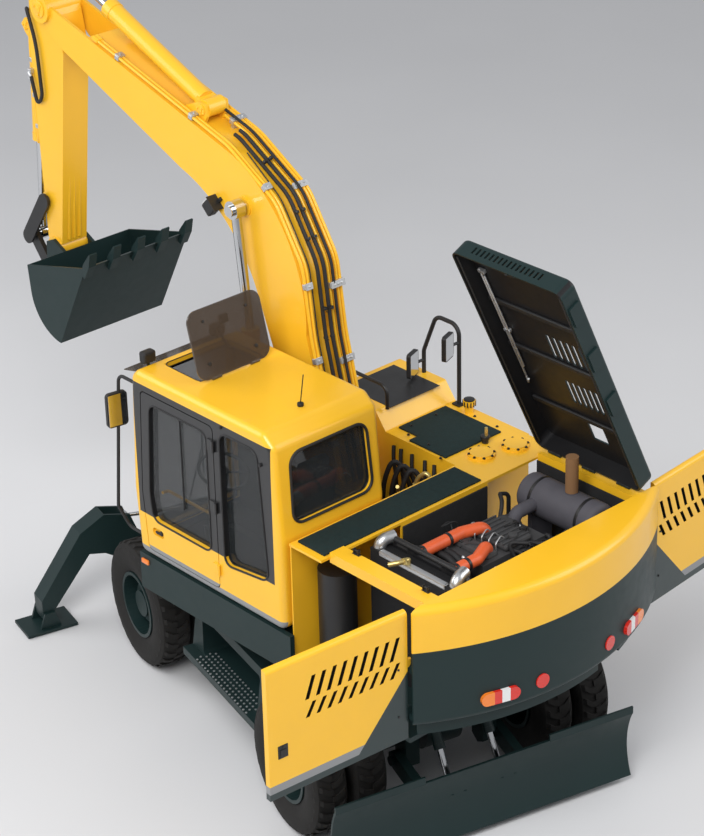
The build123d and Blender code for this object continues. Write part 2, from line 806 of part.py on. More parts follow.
# Outrigger legs and their pads
for name, hand in (("left", 1), ("right", -1)):
    with BuildPart() as leg:
        outer = [
            (outrigger_pivot_y - 40, outrigger_pivot_z + 60),
            (outrigger_knee_y - 260, outrigger_knee_z - 30),
            (outrigger_knee_y - 30, outrigger_knee_z + 30),
            (outrigger_knee_y + 190, outrigger_knee_z - 90),
            (outrigger_foot_y + 55, outrigger_foot_z + 160),
            (outrigger_foot_y + 50, outrigger_foot_z - 20),
            (outrigger_foot_y - 45, outrigger_foot_z - 25),
            (outrigger_foot_y - 60, outrigger_foot_z + 60),
            (outrigger_knee_y + 120, outrigger_knee_z - 300),
            (outrigger_knee_y - 20, outrigger_knee_z - 330),
            (outrigger_pivot_y + 65, outrigger_pivot_z - 30),
            (outrigger_pivot_y, outrigger_pivot_z - 70),
            (outrigger_pivot_y - 60, outrigger_pivot_z - 10),
        ]
        cross_plate(
            carriage, [(y * hand, z) for y, z in outer],
            outrigger_x - outrigger_depth / 2, outrigger_x + outrigger_depth / 2,
        )
        hollow = [
            (outrigger_pivot_y - 120, outrigger_pivot_z + 140),
            (outrigger_pivot_y + 60, outrigger_pivot_z + 150),
            (outrigger_knee_y - 90, outrigger_knee_z - 270),
            (outrigger_knee_y + 20, outrigger_knee_z - 120),
            (outrigger_knee_y - 60, outrigger_knee_z + 90),
            (outrigger_pivot_y - 120, outrigger_knee_z + 90),
        ]
        cross_plate(
            carriage, [(y * hand, z) for y, z in hollow],
            outrigger_x - outrigger_depth / 2 + outrigger_plate, outrigger_x + outrigger_depth / 2 - outrigger_plate,
            mode=Mode.SUBTRACT,
        )
        shaft(
            carriage, outrigger_pivot_y * hand, outrigger_pivot_z, outrigger_pin_radius,
            outrigger_x - plate_in + running_gap, outrigger_x + plate_in - running_gap,
        )
        shaft(
            carriage, outrigger_foot_y * hand, outrigger_foot_z, 32,
            outrigger_x - outrigger_depth / 2 - pad_play + running_gap, outrigger_x + outrigger_depth / 2 + pad_play - running_gap,
        )
    leg.part.label = f"outrigger_leg_{name}"
    export_step(leg.part, f"parts/outrigger_leg_{name}.step")

    with BuildPart() as pad:
        block(
            carriage, outrigger_x - pad_width / 2, outrigger_x + pad_width / 2,
            (outrigger_foot_y - pad_length / 2) * hand, (outrigger_foot_y + pad_length / 2) * hand,
            pad_ground, pad_ground + pad_thick,
        )
        for x_from in (outrigger_x - outrigger_depth / 2 - pad_play - pad_ear, outrigger_x + outrigger_depth / 2 + pad_play):
            cross_plate(
                carriage,
                [
                    ((outrigger_foot_y - 90) * hand, pad_ground + pad_thick),
                    ((outrigger_foot_y + 90) * hand, pad_ground + pad_thick),
                    ((outrigger_foot_y + 45) * hand, outrigger_foot_z + 50),
                    ((outrigger_foot_y - 45) * hand, outrigger_foot_z + 50),
                ],
                x_from, x_from + pad_ear,
            )
    pad.part.label = f"outrigger_pad_{name}"
    export_step(pad.part, f"parts/outrigger_pad_{name}.step")

# Outrigger cylinders: each crosses from the far side of the frame to its leg
outrigger_span = hypot(outrigger_lug_y - outrigger_base_y, outrigger_lug_z - outrigger_base_z)
outrigger_slope = degrees(atan2(outrigger_lug_z - outrigger_base_z, outrigger_lug_y - outrigger_base_y))


def outrigger_line(hand):
    """Frame at an outrigger cylinder's foot whose X axis points at its rod's eye."""
    across = Plane(
        origin=carriage.from_local_coords(Vector(outrigger_x + outrigger_cylinder_step * hand, 0, 0)),
        x_dir=carriage.y_dir * hand, z_dir=carriage.z_dir,
    )
    return tilted(across, outrigger_base_y, 0, outrigger_base_z, outrigger_slope)


for name, hand in (("left", 1), ("right", -1)):
    line = outrigger_line(hand)
    with BuildPart() as tube:
        tube_body(
            line, outrigger_tube_end, outrigger_tube_radius, outrigger_rod_radius, 40, outrigger_tube_radius,
            outrigger_cylinder_step - plate_in + running_gap, outrigger_cylinder_step + plate_in - running_gap,
        )
    tube.part.label = f"outrigger_tube_{name}"
    export_step(tube.part, f"parts/outrigger_tube_{name}.step")
    with BuildPart() as rod:
        leg_in = outrigger_depth / 2 - outrigger_plate - running_gap
        rod_body(
            line, outrigger_span, outrigger_tube_end - outrigger_rod_inside, outrigger_rod_radius, 36, 26,
            outrigger_cylinder_step - leg_in, outrigger_cylinder_step + leg_in,
        )
    rod.part.label = f"outrigger_rod_{name}"
    export_step(rod.part, f"parts/outrigger_rod_{name}.step")

# Upper frame: floor plate, two long beams and the ears that hold the boom
ear_in = boom_half + 30 + side_gap
boom_turn = radians(boom_cylinder_angle)
boom_cyl_x = boom_foot_x + boom_cylinder_reach * cos(boom_turn)
boom_cyl_z = boom_foot_z + boom_cylinder_reach * sin(boom_turn)
deck_in_y = boom_y - boom_cylinder_side - boom_tube_radius * head_ratio - 25
wall_x = cab_rear_x - 24
with BuildPart() as upper_frame:
    flat_plate(
        machine,
        [
            (front_x - 60, cab_right_y - 480),
            (front_x - 60, upper_half - skirt_thick - running_gap),
            (tail_corner_x + 60, upper_half - skirt_thick - running_gap),
            (tail_corner_x + 60, -upper_half + skirt_thick + running_gap),
            (front_x - 330, -upper_half + skirt_thick + running_gap),
            (front_x - 330, cab_right_y - 480),
        ],
        frame_low_z, frame_low_z + frame_plate,
    )
    ear_profile = [
        (wall_x + 30, frame_low_z + frame_plate),
        (boom_foot_x + 360, frame_low_z + frame_plate),
        (boom_foot_x + 240, frame_low_z + 300),
        (boom_foot_x + 130, boom_foot_z + 60),
        (boom_foot_x, boom_foot_z + 130),
        (boom_foot_x - 130, boom_foot_z + 60),
        (boom_foot_x - 330, frame_low_z + 380),
        (wall_x + 30, frame_low_z + 200),
    ]
    for hand in (1, -1):
        block(
            machine, tail_corner_x - 160, tail_corner_x + 120, 180 * hand, 320 * hand,
            frame_low_z + frame_plate - 1, tail_low_z - running_gap,
        )
    for y_from, y_to in ((boom_y - ear_in - boom_ear, boom_y - ear_in), (boom_y + ear_in, boom_y + ear_in + boom_ear)):
        side_plate(machine, ear_profile, y_from, y_to)
    for hand in (1, -1):
        for lug_y in (boom_cylinder_side - boom_lug_in - boom_lug_thick / 2, boom_cylinder_side + boom_lug_in + boom_lug_thick / 2):
            side_plate(
                machine,
                [
                    (boom_cyl_x - 170, frame_low_z + frame_plate),
                    (boom_cyl_x + 110, frame_low_z + frame_plate),
                    (boom_cyl_x + 66, boom_cyl_z),
                    (boom_cyl_x + 46, boom_cyl_z + 46),
                    (boom_cyl_x, boom_cyl_z + 66),
                    (boom_cyl_x - 46, boom_cyl_z + 46),
                    (boom_cyl_x - 66, boom_cyl_z),
                ],
                boom_y + (lug_y - boom_lug_thick / 2) * hand, boom_y + (lug_y + boom_lug_thick / 2) * hand,
            )
    # pedestals under the cab
    for x in (cab_rear_x + 150, cab_front_x - 200):
        for y in (cab_right_y + 160, upper_half - 160):
            post(machine, x, y, 70, frame_low_z + frame_plate - 1, cab_floor_z - running_gap)
    bar(machine, boom_foot_x, boom_foot_z, 70, boom_y - ear_in - boom_ear - 12, boom_y - boom_half - 30 - running_gap)
    bar(machine, boom_foot_x, boom_foot_z, 70, boom_y + boom_half + 30 + running_gap, boom_y + ear_in + boom_ear + 12)
upper_frame.part.label = "upper_frame"
export_step(upper_frame.part, "parts/upper_frame.step")


def tail_outline(inset, x_limit):
    """Tail seen from above: sides, then the tail arc about the slew centre."""
    radius = tail_radius - inset
    half = upper_half - inset
    corner_x = -((radius ** 2 - half ** 2) ** 0.5)
    with BuildLine() as outline:
        Polyline((corner_x, half), (x_limit, half), (x_limit, -half), (corner_x, -half))
        ThreePointArc((corner_x, -half), (-radius, 0), (corner_x, half))
    return outline.line


side_hinge_y = upper_half - side_door_thick / 2
# Counterweight: dark cast lower body, with the yellow upper band as a cover on it
with BuildPart() as counterweight:
    with BuildSketch(top(machine, tail_step_z)) as tail:
        add(tail_outline(0, tail_corner_x - 5))
        make_face()
    extrude(tail.sketch, amount=tail_band_z - tail_step_z)
    lower_face = counterweight.faces().sort_by(Axis.Z)[0]
    fillet(lower_face.edges().filter_by(GeomType.CIRCLE), radius=tail_edge)
    with BuildSketch(top(machine, tail_low_z)) as apron:
        add(tail_outline(tail_step_in, tail_corner_x + 45))
        make_face()
    extrude(apron.sketch, amount=tail_step_z + 1 - tail_low_z)
    block(machine, -tail_radius, -tail_radius + 330, -620, -330, tail_low_z - 1, tail_step_z, mode=Mode.SUBTRACT)
    # hinge brackets of the bay's side doors
    for hand in (1, -1):
        for z in side_hinge_z:
            block(
                machine, tail_corner_x - 20, side_door_rear_x,
                side_hinge_y * hand - side_hinge_half, side_hinge_y * hand + side_hinge_half, z - 45, z,
            )
            post(machine, side_door_rear_x, side_hinge_y * hand, side_hinge_half, z - 45, z)
counterweight.part.label = "counterweight"
export_step(counterweight.part, "parts/counterweight.step")
with BuildPart() as rear_cowl:
    with BuildSketch(top(machine, tail_band_z)) as cowl:
        add(tail_outline(0, tail_corner_x - 5))
        make_face()
    extrude(cowl.sketch, amount=deck_z + 30 - tail_band_z)
    upper_face = rear_cowl.faces().sort_by(Axis.Z)[-1]
    fillet(upper_face.edges().filter_by(GeomType.CIRCLE), radius=cowl_edge)
rear_cowl.part.label = "rear_cowl"
export_step(rear_cowl.part, "parts/rear_cowl.step")

# Side skirts under the cab and under the right deck
with BuildPart() as skirts:
    block(machine, side_door_front_x + 10, front_x - 40, upper_half - skirt_thick, upper_half, skirt_low_z, skirt_top_z)
    block(machine, side_door_front_x + 10, front_x - 260, -upper_half, -upper_half + skirt_thick, skirt_low_z, skirt_top_z)
skirts.part.label = "side_skirts"
export_step(skirts.part, "parts/side_skirts.step")

# Bay walls: the bulkhead behind the cab with its top plate, and the beam under the hood's hinges
with BuildPart() as bay_walls:
    block(machine, wall_x - 12, wall_x, deck_in_y, upper_half - 60, frame_low_z + frame_plate, deck_z - 14)
    block(machine, bay_front_x, wall_x, deck_in_y, upper_half - side_door_thick - panel_gap, deck_z - 34, deck_z - 14)
    block(machine, bay_front_x, bay_front_x + 14, deck_in_y, 420, frame_low_z + frame_plate, deck_z - 20)
    block(machine, tail_corner_x - 5 + running_gap, bay_front_x, bay_right_y - 130, bay_right_y, deck_z - 60, deck_z + 20)
    block(machine, tail_corner_x - 5 + running_gap, bay_front_x + 1, bay_left_y, bay_left_y + 130, deck_z - 60, deck_z + 20)
bay_walls.part.label = "bay_walls"
export_step(bay_walls.part, "parts/bay_walls.step")

# Right deck: tanks with round covers, and the tool box in front of them
tank_front_x = 240.0
box_top_z = deck_z + 130
with BuildPart() as right_deck:
    deck_out_y = -upper_half + skirt_thick + running_gap
    block(machine, bay_front_x + running_gap, side_door_front_x + 11, -upper_half + side_door_thick + panel_gap, deck_in_y - running_gap, deck_z - 34, deck_z - 14)
    block(machine, side_door_front_x + 10, tank_front_x, deck_out_y, deck_in_y, frame_low_z + frame_plate, deck_z - 14)
    with BuildSketch(side(machine, (deck_out_y + deck_in_y) / 2)) as box_side:
        with BuildLine():
            FilletPolyline(
                (tank_front_x - 1, frame_low_z + frame_plate), (tank_front_x - 1, deck_z - 14), (tank_front_x + 110, box_top_z),
                (front_x - 330, box_top_z), (front_x - 260, deck_z - 200), (front_x - 260, frame_low_z + frame_plate),
                radius=25, close=True,
            )
        make_face()
    extrude(box_side.sketch, amount=abs(deck_out_y - deck_in_y) / 2, both=True)
    for x, y in ((-540, -700), (-620, -980)):
        post(machine, x, y, 105, deck_z - 15, deck_z + 6)
        post(machine, x, y, 88, deck_z + 5, deck_z + 16)
    post(machine, 20, -1130, 34, deck_z - 15, deck_z + 62)
    post(machine, 20, -1130, 50, deck_z + 60, deck_z + 92)
right_deck.part.label = "right_deck"
export_step(right_deck.part, "parts/right_deck.step")

# Anti-slip mats on the deck behind the cab and on the right deck
with BuildPart() as mats:
    block(machine, bay_front_x + 30, wall_x - 30, deck_in_y + 40, upper_half - 110, deck_z - 14, deck_z)
    block(machine, -390, tank_front_x - 30, -1060, deck_in_y - 110, deck_z - 14, deck_z)
    block(machine, -390, tank_front_x - 240, deck_in_y - 111, deck_in_y - 20, deck_z - 14, deck_z)
mats.part.label = "deck_mats"
export_step(mats.part, "parts/deck_mats.step")

# Engine block, cooler stack, silencer, charge air hoses and air cleaner
with BuildPart() as engine:
    block(machine, engine_rear_x, engine_front_x, engine_right_y, engine_left_y, engine_low_z, engine_top_z - 180)
    block(machine, engine_rear_x + 120, engine_front_x - 60, engine_right_y + 120, engine_left_y - 60, engine_top_z - 180, engine_top_z)
    for x in (engine_rear_x + 60, engine_front_x - 60):
        for y in (engine_right_y + 60, engine_left_y - 60):
            post(machine, x, y, 45, frame_low_z + frame_plate, engine_low_z)
engine.part.label = "engine"
export_step(engine.part, "parts/engine.step")
with BuildPart() as coolers:
    block(machine, bay_rear_x + 60, bay_front_x - 40, 640, 760, frame_low_z + frame_plate, deck_z - 60)
    for x in charge_pipe_x:
        post(machine, x, 590, 50, frame_low_z + frame_plate, deck_z - 30)
coolers.part.label = "cooler_stack"
export_step(coolers.part, "parts/cooler_stack.step")
with BuildPart() as silencer:
    shaft(machine, silencer_y, silencer_z, 150, bay_rear_x + 90, bay_front_x - 120)
    ends = silencer.edges().filter_by(GeomType.CIRCLE)
    fillet(ends, radius=40)
    pipe_run(
        machine,
        [
            (inlet_x, silencer_y, silencer_z), (inlet_x, engine_right_y + 60, silencer_z),
            (inlet_x, engine_right_y + 60, engine_top_z - 180 + running_gap),
        ],
        50, 60,
    )
    post(machine, stack_x, silencer_y, 48, silencer_z, 2520)
    for x in (bay_rear_x + 200, bay_front_x - 250):
        block(machine, x - 20, x + 20, -860, -640, frame_low_z + frame_plate, 2080)
silencer.part.label = "silencer"
export_step(silencer.part, "parts/silencer.step")
with BuildPart() as hoses:
    hose_start_y = 590 - 50 - running_gap
    for x, reach, step in ((charge_pipe_x[0], -60, -60), (charge_pipe_x[1], 120, 90)):
        pipe_run(
            machine,
            [
                (x, hose_start_y, 2150), (x, reach + 190, 2150), (x + step, reach, 2150), (x + step, reach, engine_top_z + running_gap),
            ],
            46, 62,
        )
hoses.part.label = "charge_hoses"
export_step(hoses.part, "parts/charge_hoses.step")
with BuildPart() as air_cleaner:
    post(machine, -690, 900, 140, frame_low_z + frame_plate, 1990)
air_cleaner.part.label = "air_cleaner"
export_step(air_cleaner.part, "parts/air_cleaner.step")

# Cab shell
with BuildPart() as cab:
    cab_side = [
        (cab_rear_x, cab_floor_z),
        (cab_front_x - 40, cab_floor_z),
        (cab_front_x, 2050),
        (cab_top_front_x, cab_roof_z - 60),
        (cab_top_front_x - cab_brow, cab_roof_z),
        (cab_rear_x + 170, cab_roof_z),
        (cab_rear_x + 60, cab_roof_z - 90),
        (cab_rear_x, 2250),
    ]
    round_side_plate(machine, cab_side, cab_corner, cab_right_y, upper_half)
    outer_edges = [
        edge for edge in cab.edges()
        if edge.center().Z > cab_floor_z + 60
        and (abs(edge.center().Y - slew_y - upper_half) < 1 or abs(edge.center().Y - slew_y - cab_right_y) < 1)
    ]
    fillet(outer_edges, radius=cab_edge)
    inner = [
        (cab_rear_x + cab_wall, cab_floor_z + cab_wall),
        (cab_front_x - 40 - cab_wall, cab_floor_z + cab_wall),
        (cab_front_x - cab_wall, 2050),
        (cab_top_front_x - cab_wall, cab_roof_z - 60 - cab_wall / 2),
        (cab_top_front_x - cab_brow, cab_roof_z - cab_wall),
        (cab_rear_x + 170, cab_roof_z - cab_wall),
        (cab_rear_x + 60 + cab_wall, cab_roof_z - 90 - cab_wall / 2),
        (cab_rear_x + cab_wall, 2250),
    ]
    side_plate(machine, inner, cab_right_y + cab_wall, upper_half - cab_wall, mode=Mode.SUBTRACT)
    # doorway
    door_outline = [
        (door_rear_x, door_low_z),
        (door_front_x, door_low_z),
        (door_front_x + 40, 2050),
        (door_front_x - 10, door_top_z),
        (door_rear_x, door_top_z),
    ]
    round_side_plate(machine, door_outline, 45, upper_half - cab_wall - 5, upper_half + 5, mode=Mode.SUBTRACT)
    # rear quarter window
    round_side_plate(
        machine,
        [
            (cab_rear_x + 150, 1860), (door_rear_x - 70, 1800),
            (door_rear_x - 70, door_top_z - 20), (cab_rear_x + 230, door_top_z - 20),
        ],
        window_corner, upper_half - cab_wall - 5, upper_half + 5, mode=Mode.SUBTRACT,
    )
    # right window
    round_side_plate(
        machine,
        [
            (cab_rear_x + 200, 2080), (cab_front_x - 180, 2080), (cab_top_front_x - 150, door_top_z), (cab_rear_x + 200, door_top_z),
        ],
        window_corner, cab_right_y - 5, cab_right_y + cab_wall + 5, mode=Mode.SUBTRACT,
    )
    # rear window
    round_cross_plate(
        machine,
        [
            (cab_right_y + 110, 2330), (upper_half - 130, 2330), (upper_half - 150, 2870), (cab_right_y + 130, 2870),
        ],
        90, cab_rear_x - 20, cab_rear_x + cab_wall + 90, mode=Mode.SUBTRACT,
    )
    # front window
    cross_plate(
        machine,
        [
            (cab_right_y + 90, 1640), (upper_half - 90, 1640), (upper_half - 90, cab_roof_z - 110), (cab_right_y + 90, cab_roof_z - 110),
        ],
        cab_top_front_x - 90, cab_front_x + 20, mode=Mode.SUBTRACT,
    )
    # roof hatch opening
    block(machine, hatch_rear_x + 40, hatch_front_x - 60, hatch_right_y + 40, hatch_left_y - 40, cab_roof_z - 100, cab_roof_z + 20, mode=Mode.SUBTRACT)
cab.part.label = "cab_shell"
export_step(cab.part, "parts/cab_shell.step")

# Cab glass
with BuildPart() as glass:
    side_plate(
        machine,
        [
            (cab_rear_x + 130, 1845), (door_rear_x - 50, 1782), (door_rear_x - 50, door_top_z),
            (cab_rear_x + 215, door_top_z),
        ],
        upper_half - cab_wall - glass_thick - 0.3, upper_half - cab_wall - 0.3,
    )
    side_plate(
        machine,
        [
            (cab_rear_x + 180, 2060), (cab_front_x - 165, 2060), (cab_top_front_x - 130, door_top_z + 20), (cab_rear_x + 180, door_top_z + 20),
        ],
        cab_right_y + cab_wall + 0.3, cab_right_y + cab_wall + glass_thick + 0.3,
    )
    # windscreen, in two bends, and the rear window
    screen = [(cab_front_x - cab_wall - 35, 1625), (cab_front_x - cab_wall, 2050), (cab_top_front_x - cab_wall, 2945)]
    side_plate(
        machine,
        [(x - 0.5, z) for x, z in screen] + [(x - 0.5 - glass_thick, z) for x, z in reversed(screen)],
        cab_right_y + 75, upper_half - 75,
    )
    pane = [(cab_rear_x + cab_wall + 5.7, 2310), (cab_rear_x + cab_wall + 57, 2890)]
    side_plate(
        machine,
        [(x + 1, z) for x, z in pane] + [(x + 1 + glass_thick, z) for x, z in reversed(pane)],
        cab_right_y + 95, upper_half - 115,
    )
glass.part.label = "cab_glass"
export_step(glass.part, "parts/cab_glass.step")

# Cab door in its frame, with the pane as its own solid
with BuildPart() as door:
    gap = panel_gap
    leaf = [
        (door_rear_x + gap, door_low_z + gap),
        (door_front_x - gap, door_low_z + gap),
        (door_front_x + 40 - gap, 2050),
        (door_front_x - 10 - gap, door_top_z - gap),
        (door_rear_x + gap, door_top_z - gap),
    ]
    round_side_plate(machine, leaf, 38, upper_half - door_thick, upper_half)
    frame = door_frame
    round_side_plate(
        machine,
        [
            (door_rear_x + gap + frame, door_low_z + gap + 3.6 * frame),
            (door_front_x - gap - frame, door_low_z + gap + 3.6 * frame),
            (door_front_x + 30 - gap - frame, 2050),
            (door_front_x - 25 - gap - frame, door_top_z - gap - frame),
            (door_rear_x + gap + frame, door_top_z - gap - frame),
        ],
        window_corner, upper_half - door_thick - 5, upper_half + 5, mode=Mode.SUBTRACT,
    )
    # grip recess
    round_side_plate(
        machine,
        [
            (door_front_x - 190, door_low_z + 215), (door_front_x - 60, door_low_z + 215),
            (door_front_x - 60, door_low_z + 150), (door_front_x - 190, door_low_z + 150),
        ],
        30, upper_half - 22, upper_half + 5, mode=Mode.SUBTRACT,
    )
    for z in (door_low_z + 120, door_low_z + 640, door_top_z - 200):
        post(machine, door_hinge_x, door_hinge_y, door_hinge_radius, z, z + 90)
        block(machine, door_hinge_x, door_rear_x + 60, upper_half + running_gap, upper_half + door_hinge_radius, z, z + 90)
        block(machine, door_rear_x + panel_gap, door_rear_x + 60, upper_half - 1, upper_half + door_hinge_radius, z, z + 90)
door.part.label = "cab_door"
export_step(door.part, "parts/cab_door.step")
with BuildPart() as door_glass:
    side_plate(
        machine,
        [
            (door_rear_x + gap + frame - 15, door_low_z + gap + 3.6 * frame - 15),
            (door_front_x - gap - frame + 15, door_low_z + gap + 3.6 * frame - 15),
            (door_front_x + 30 - gap - frame + 15, 2050),
            (door_front_x - 25 - gap - frame + 12, door_top_z - gap - frame + 15),
            (door_rear_x + gap + frame - 15, door_top_z - gap - frame + 15),
        ],
        upper_half - door_thick - glass_thick - 0.3, upper_half - door_thick - 0.3,
    )
door_glass.part.label = "cab_door_glass"
export_step(door_glass.part, "parts/cab_door_glass.step")

# Roof hatch, open about its rear edge
hatch_line = tilted(machine, hatch_rear_x, 0, cab_roof_z + hatch_thick, hatch_open)
with BuildPart() as hatch:
    round_block(hatch_line, 0, hatch_front_x - hatch_rear_x, hatch_right_y, hatch_left_y, -hatch_thick / 2, hatch_thick / 2, 90)
    for y in (hatch_right_y + 120, hatch_left_y - 200):
        bar(machine, hatch_rear_x, cab_roof_z + hatch_thick, hatch_thick - running_gap, y, y + 80)
hatch.part.label = "roof_hatch"
export_step(hatch.part, "parts/roof_hatch.step")

# Operator seat and console
with BuildPart() as seat:
    block(machine, -150, 400, 500, 980, cab_floor_z + cab_wall, 1850)
    side_plate(machine, [(-150, 1850), (400, 1850), (400, 1990), (-20, 1970), (-150, 2620), (-260, 2600)], 500, 980)
    block(machine, 740, 860, 640, 840, cab_floor_z + cab_wall, 2200)
seat.part.label = "operator_seat"
export_step(seat.part, "parts/operator_seat.step")

# Hood, hinged along its right edge
hood_line = rolled(machine, 0, hood_hinge_y, hood_hinge_z, hood_open)
hood_width = bay_left_y + 60 - hood_hinge_y
hood_front_x = bay_front_x + 60
hood_rear_x = bay_rear_x - 40
with BuildPart() as hood:
    round_block(hood_line, hood_rear_x, hood_front_x, 0, hood_width, 0, hood_height, hood_corner)
    crown = hood.faces().sort_by(Axis(hood_line.origin, hood_line.z_dir))[-1]
    fillet(crown.edges(), radius=hood_edge)
    round_block(
        hood_line, hood_rear_x + hood_wall, hood_front_x - hood_wall, hood_wall, hood_width - hood_wall,
        -1, hood_height - hood_wall, hood_corner - hood_wall, mode=Mode.SUBTRACT,
    )
    # two rows of air slots with a longer one beside them, and vents along the free edge
    with BuildSketch(top(hood_line, hood_height - hood_wall - 1)) as slots:
        for first_x, pitch, count, row_y in hood_slot_rows:
            for index in range(count):
                with Locations((hood_rear_x + first_x + index * pitch, row_y)):
                    SlotOverall(hood_slot_length, hood_slot_width, rotation=90)
        with Locations((hood_rear_x + 80, 640)):
            SlotOverall(hood_slot_length + 50, hood_slot_width + 15, rotation=90)
    extrude(slots.sketch, amount=hood_wall + 2, mode=Mode.SUBTRACT)
    for index in range(hood_vents):
        x = hood_rear_x + 230 + index * hood_vent_pitch
        block(hood_line, x, x + 18, hood_width - hood_wall - 1, hood_width + 1, 45, 105, mode=Mode.SUBTRACT)
    # ribs over the rear edge
    for y in hood_rib_places:
        block(hood_line, hood_rear_x - 14, hood_rear_x + 2, y, y + 170, 15, hood_height - hood_edge - 6)
    block(hood_line, stack_x - 75, stack_x + 75, 205, 400, -1, hood_height + 1, mode=Mode.SUBTRACT)
    for x in (hood_rear_x + 120, (hood_rear_x + hood_front_x) / 2 - 60, hood_front_x - 240):
        shaft(machine, hood_hinge_y, hood_hinge_z, hood_hinge_z - deck_z - 20 - running_gap, x, x + 120)
hood.part.label = "hood"
export_step(hood.part, "parts/hood.step")

# Side doors of the engine bay, hinged at their rear edges
side_door_length = side_door_front_x - side_door_rear_x
for name, hand in (("left", 1), ("right", -1)):
    leaf_line = turned(machine, side_door_rear_x, (upper_half - side_door_thick / 2) * hand, 0, side_door_open * hand)
    with BuildPart() as side_door:
        with BuildSketch(front(leaf_line, 30)) as leaf_end:
            with BuildLine():
                out_y = side_door_thick / 2 * hand
                Polyline(
                    (-out_y, deck_z + 10), (-out_y, side_door_low_z), (out_y, side_door_low_z),
                    (out_y, deck_z + 10 - side_door_edge - 8),
                )
                ThreePointArc(
                    (out_y, deck_z + 10 - side_door_edge - 8),
                    (out_y - 10 * hand, deck_z + 10 - 9),
                    (-out_y, deck_z + 10),
                )
            make_face()
        extrude(leaf_end.sketch, amount=side_door_length - 30)
        for z_from, z_to in louvre_rows:
            for index in range(louvre_count):
                x = louvre_first + index * louvre_pitch
                side_plate(
                    leaf_line,
                    [(x, z_from), (x + louvre_width, z_from), (x + louvre_width - 60, z_to), (x - 60, z_to)],
                    -side_door_thick, side_door_thick, mode=Mode.SUBTRACT,
                )
        for z in side_hinge_z:
            post(leaf_line, 0, 0, side_hinge_half, z + running_gap, z + 60)
            block(leaf_line, 0, 31, -side_hinge_half, side_hinge_half, z + running_gap, z + 60)
    side_door.part.label = f"side_door_{name}"
    export_step(side_door.part, f"parts/side_door_{name}.step")

# Mirrors: the bent post on the right deck, and the arm at the cab's front left corner
with BuildPart() as mirrors:
    mirror_y = -1170
    pipe_run(
        machine,
        [
            (170, mirror_y, deck_z - 14), (170, mirror_y, 2900), (420, mirror_y, 2900),
            (560, mirror_y, 2560), (560, mirror_y, box_top_z),
        ],
        17, 90,
    )
    block(machine, 130, 210, mirror_y - 19, mirror_y + 40, deck_z - 14, deck_z)
    for x, z in ((170, 2760), (560, 2480)):
        bar(machine, x, z, 12, mirror_y, mirror_y + 90)
        round_cross_plate(
            turned(machine, x, mirror_y + 90, 0, 20), [(-20, z - 90), (130, z - 90), (130, z + 120), (-20, z + 120)], 25, -16, 16,
        )
    mirror_in_y = upper_half - 45
    pipe_run(
        machine,
        [
            (cab_top_front_x + 5.5, mirror_in_y, 2900), (cab_front_x + 150, mirror_in_y, 2900), (cab_front_x + 190, upper_half + 10, 1800),
            (cab_front_x + 130, mirror_in_y, 1620), (cab_front_x - 30, mirror_in_y, 1620),
        ],
        13, 60,
    )
    round_cross_plate(
        turned(machine, cab_front_x + 160, upper_half - 31, 0, -10), [(-70, 2480), (100, 2480), (100, 2760), (-70, 2760)], 30, -16, 16,
    )
mirrors.part.label = "mirrors"
export_step(mirrors.part, "parts/mirrors.step")

# Lamps: the tail clusters and round reflectors on the counterweight
with BuildPart() as lamps:
    for hand in (1, -1):
        lamp_line = turned(machine, 0, 0, 0, 180 + lamp_turn * hand)
        with BuildSketch(front(lamp_line, tail_radius - 30)) as cluster:
            with Locations((0, 1470)):
                SlotOverall(lamp_length, lamp_height)
        extrude(cluster.sketch, amount=52)
        reflector_line = turned(machine, 0, 0, 0, 180 + reflector_turn * hand)
        shaft(reflector_line, 0, 1475, reflector_radius, tail_radius - 30, tail_radius + 10)
    with BuildSketch(top(machine, 1300)) as tail_cut:
        add(tail_outline(-running_gap, tail_corner_x + 100))
        make_face()
    extrude(tail_cut.sketch, amount=400, mode=Mode.SUBTRACT)
lamps.part.label = "tail_lamps"
export_step(lamps.part, "parts/tail_lamps.step")

# Boom
boom_line = tilted(machine, boom_foot_x, boom_y, boom_foot_z, boom_angle)
with BuildPart() as boom:
    with BuildSketch(side(boom_line, 0)) as boom_side:
        with BuildLine():
            back = Line((-60, 115), (1150, 850))
            elbow = ThreePointArc(back @ 1, (1880, 1255), (2560, 1170))
            upper = Line(elbow @ 1, (4540, 100))
            nose = Line(upper @ 1, (4620, -90))
            lower = Line(nose @ 1, (4300, -60))
            belly = Line(lower @ 1, (2800, 545))
            crook = ThreePointArc(belly @ 1, (2230, 700), (1650, 590))
            shin = Line(crook @ 1, (70, -110))
            Line(shin @ 1, back @ 0)
        make_face()
    extrude(boom_side.sketch, amount=boom_half, both=True)
    bar(boom_line, 0, 0, boom_foot_radius, -boom_half - 30, boom_half + 30)
    bar(boom_line, boom_boss_along, boom_boss_up, 78, -boom_half - boom_boss_out, boom_half + boom_boss_out)
    # fork at the tip
    block(boom_line, boom_length - fork_depth, boom_length + 200, -arm_half - 20 - running_gap, arm_half + 20 + running_gap, -400, 400, mode=Mode.SUBTRACT)
    for hand in (1, -1):
        bar(boom_line, boom_length, 0, boom_tip_radius, (arm_half + 20 + running_gap) * hand, (boom_half + 26) * hand)
        side_plate(
            boom_line,
            [
                (arm_base_along - 150, arm_base_up - 260),
                (arm_base_along + 240, arm_base_up - 420),
                (arm_base_along + 60, arm_base_up + 20),
                (arm_base_along - 10, arm_base_up + 70),
                (arm_base_along - 75, arm_base_up + 10),
            ],
            arm_lug_in * hand, (arm_lug_in + arm_lug_thick) * hand,
        )
boom.part.label = "boom"
export_step(boom.part, "parts/boom.step")

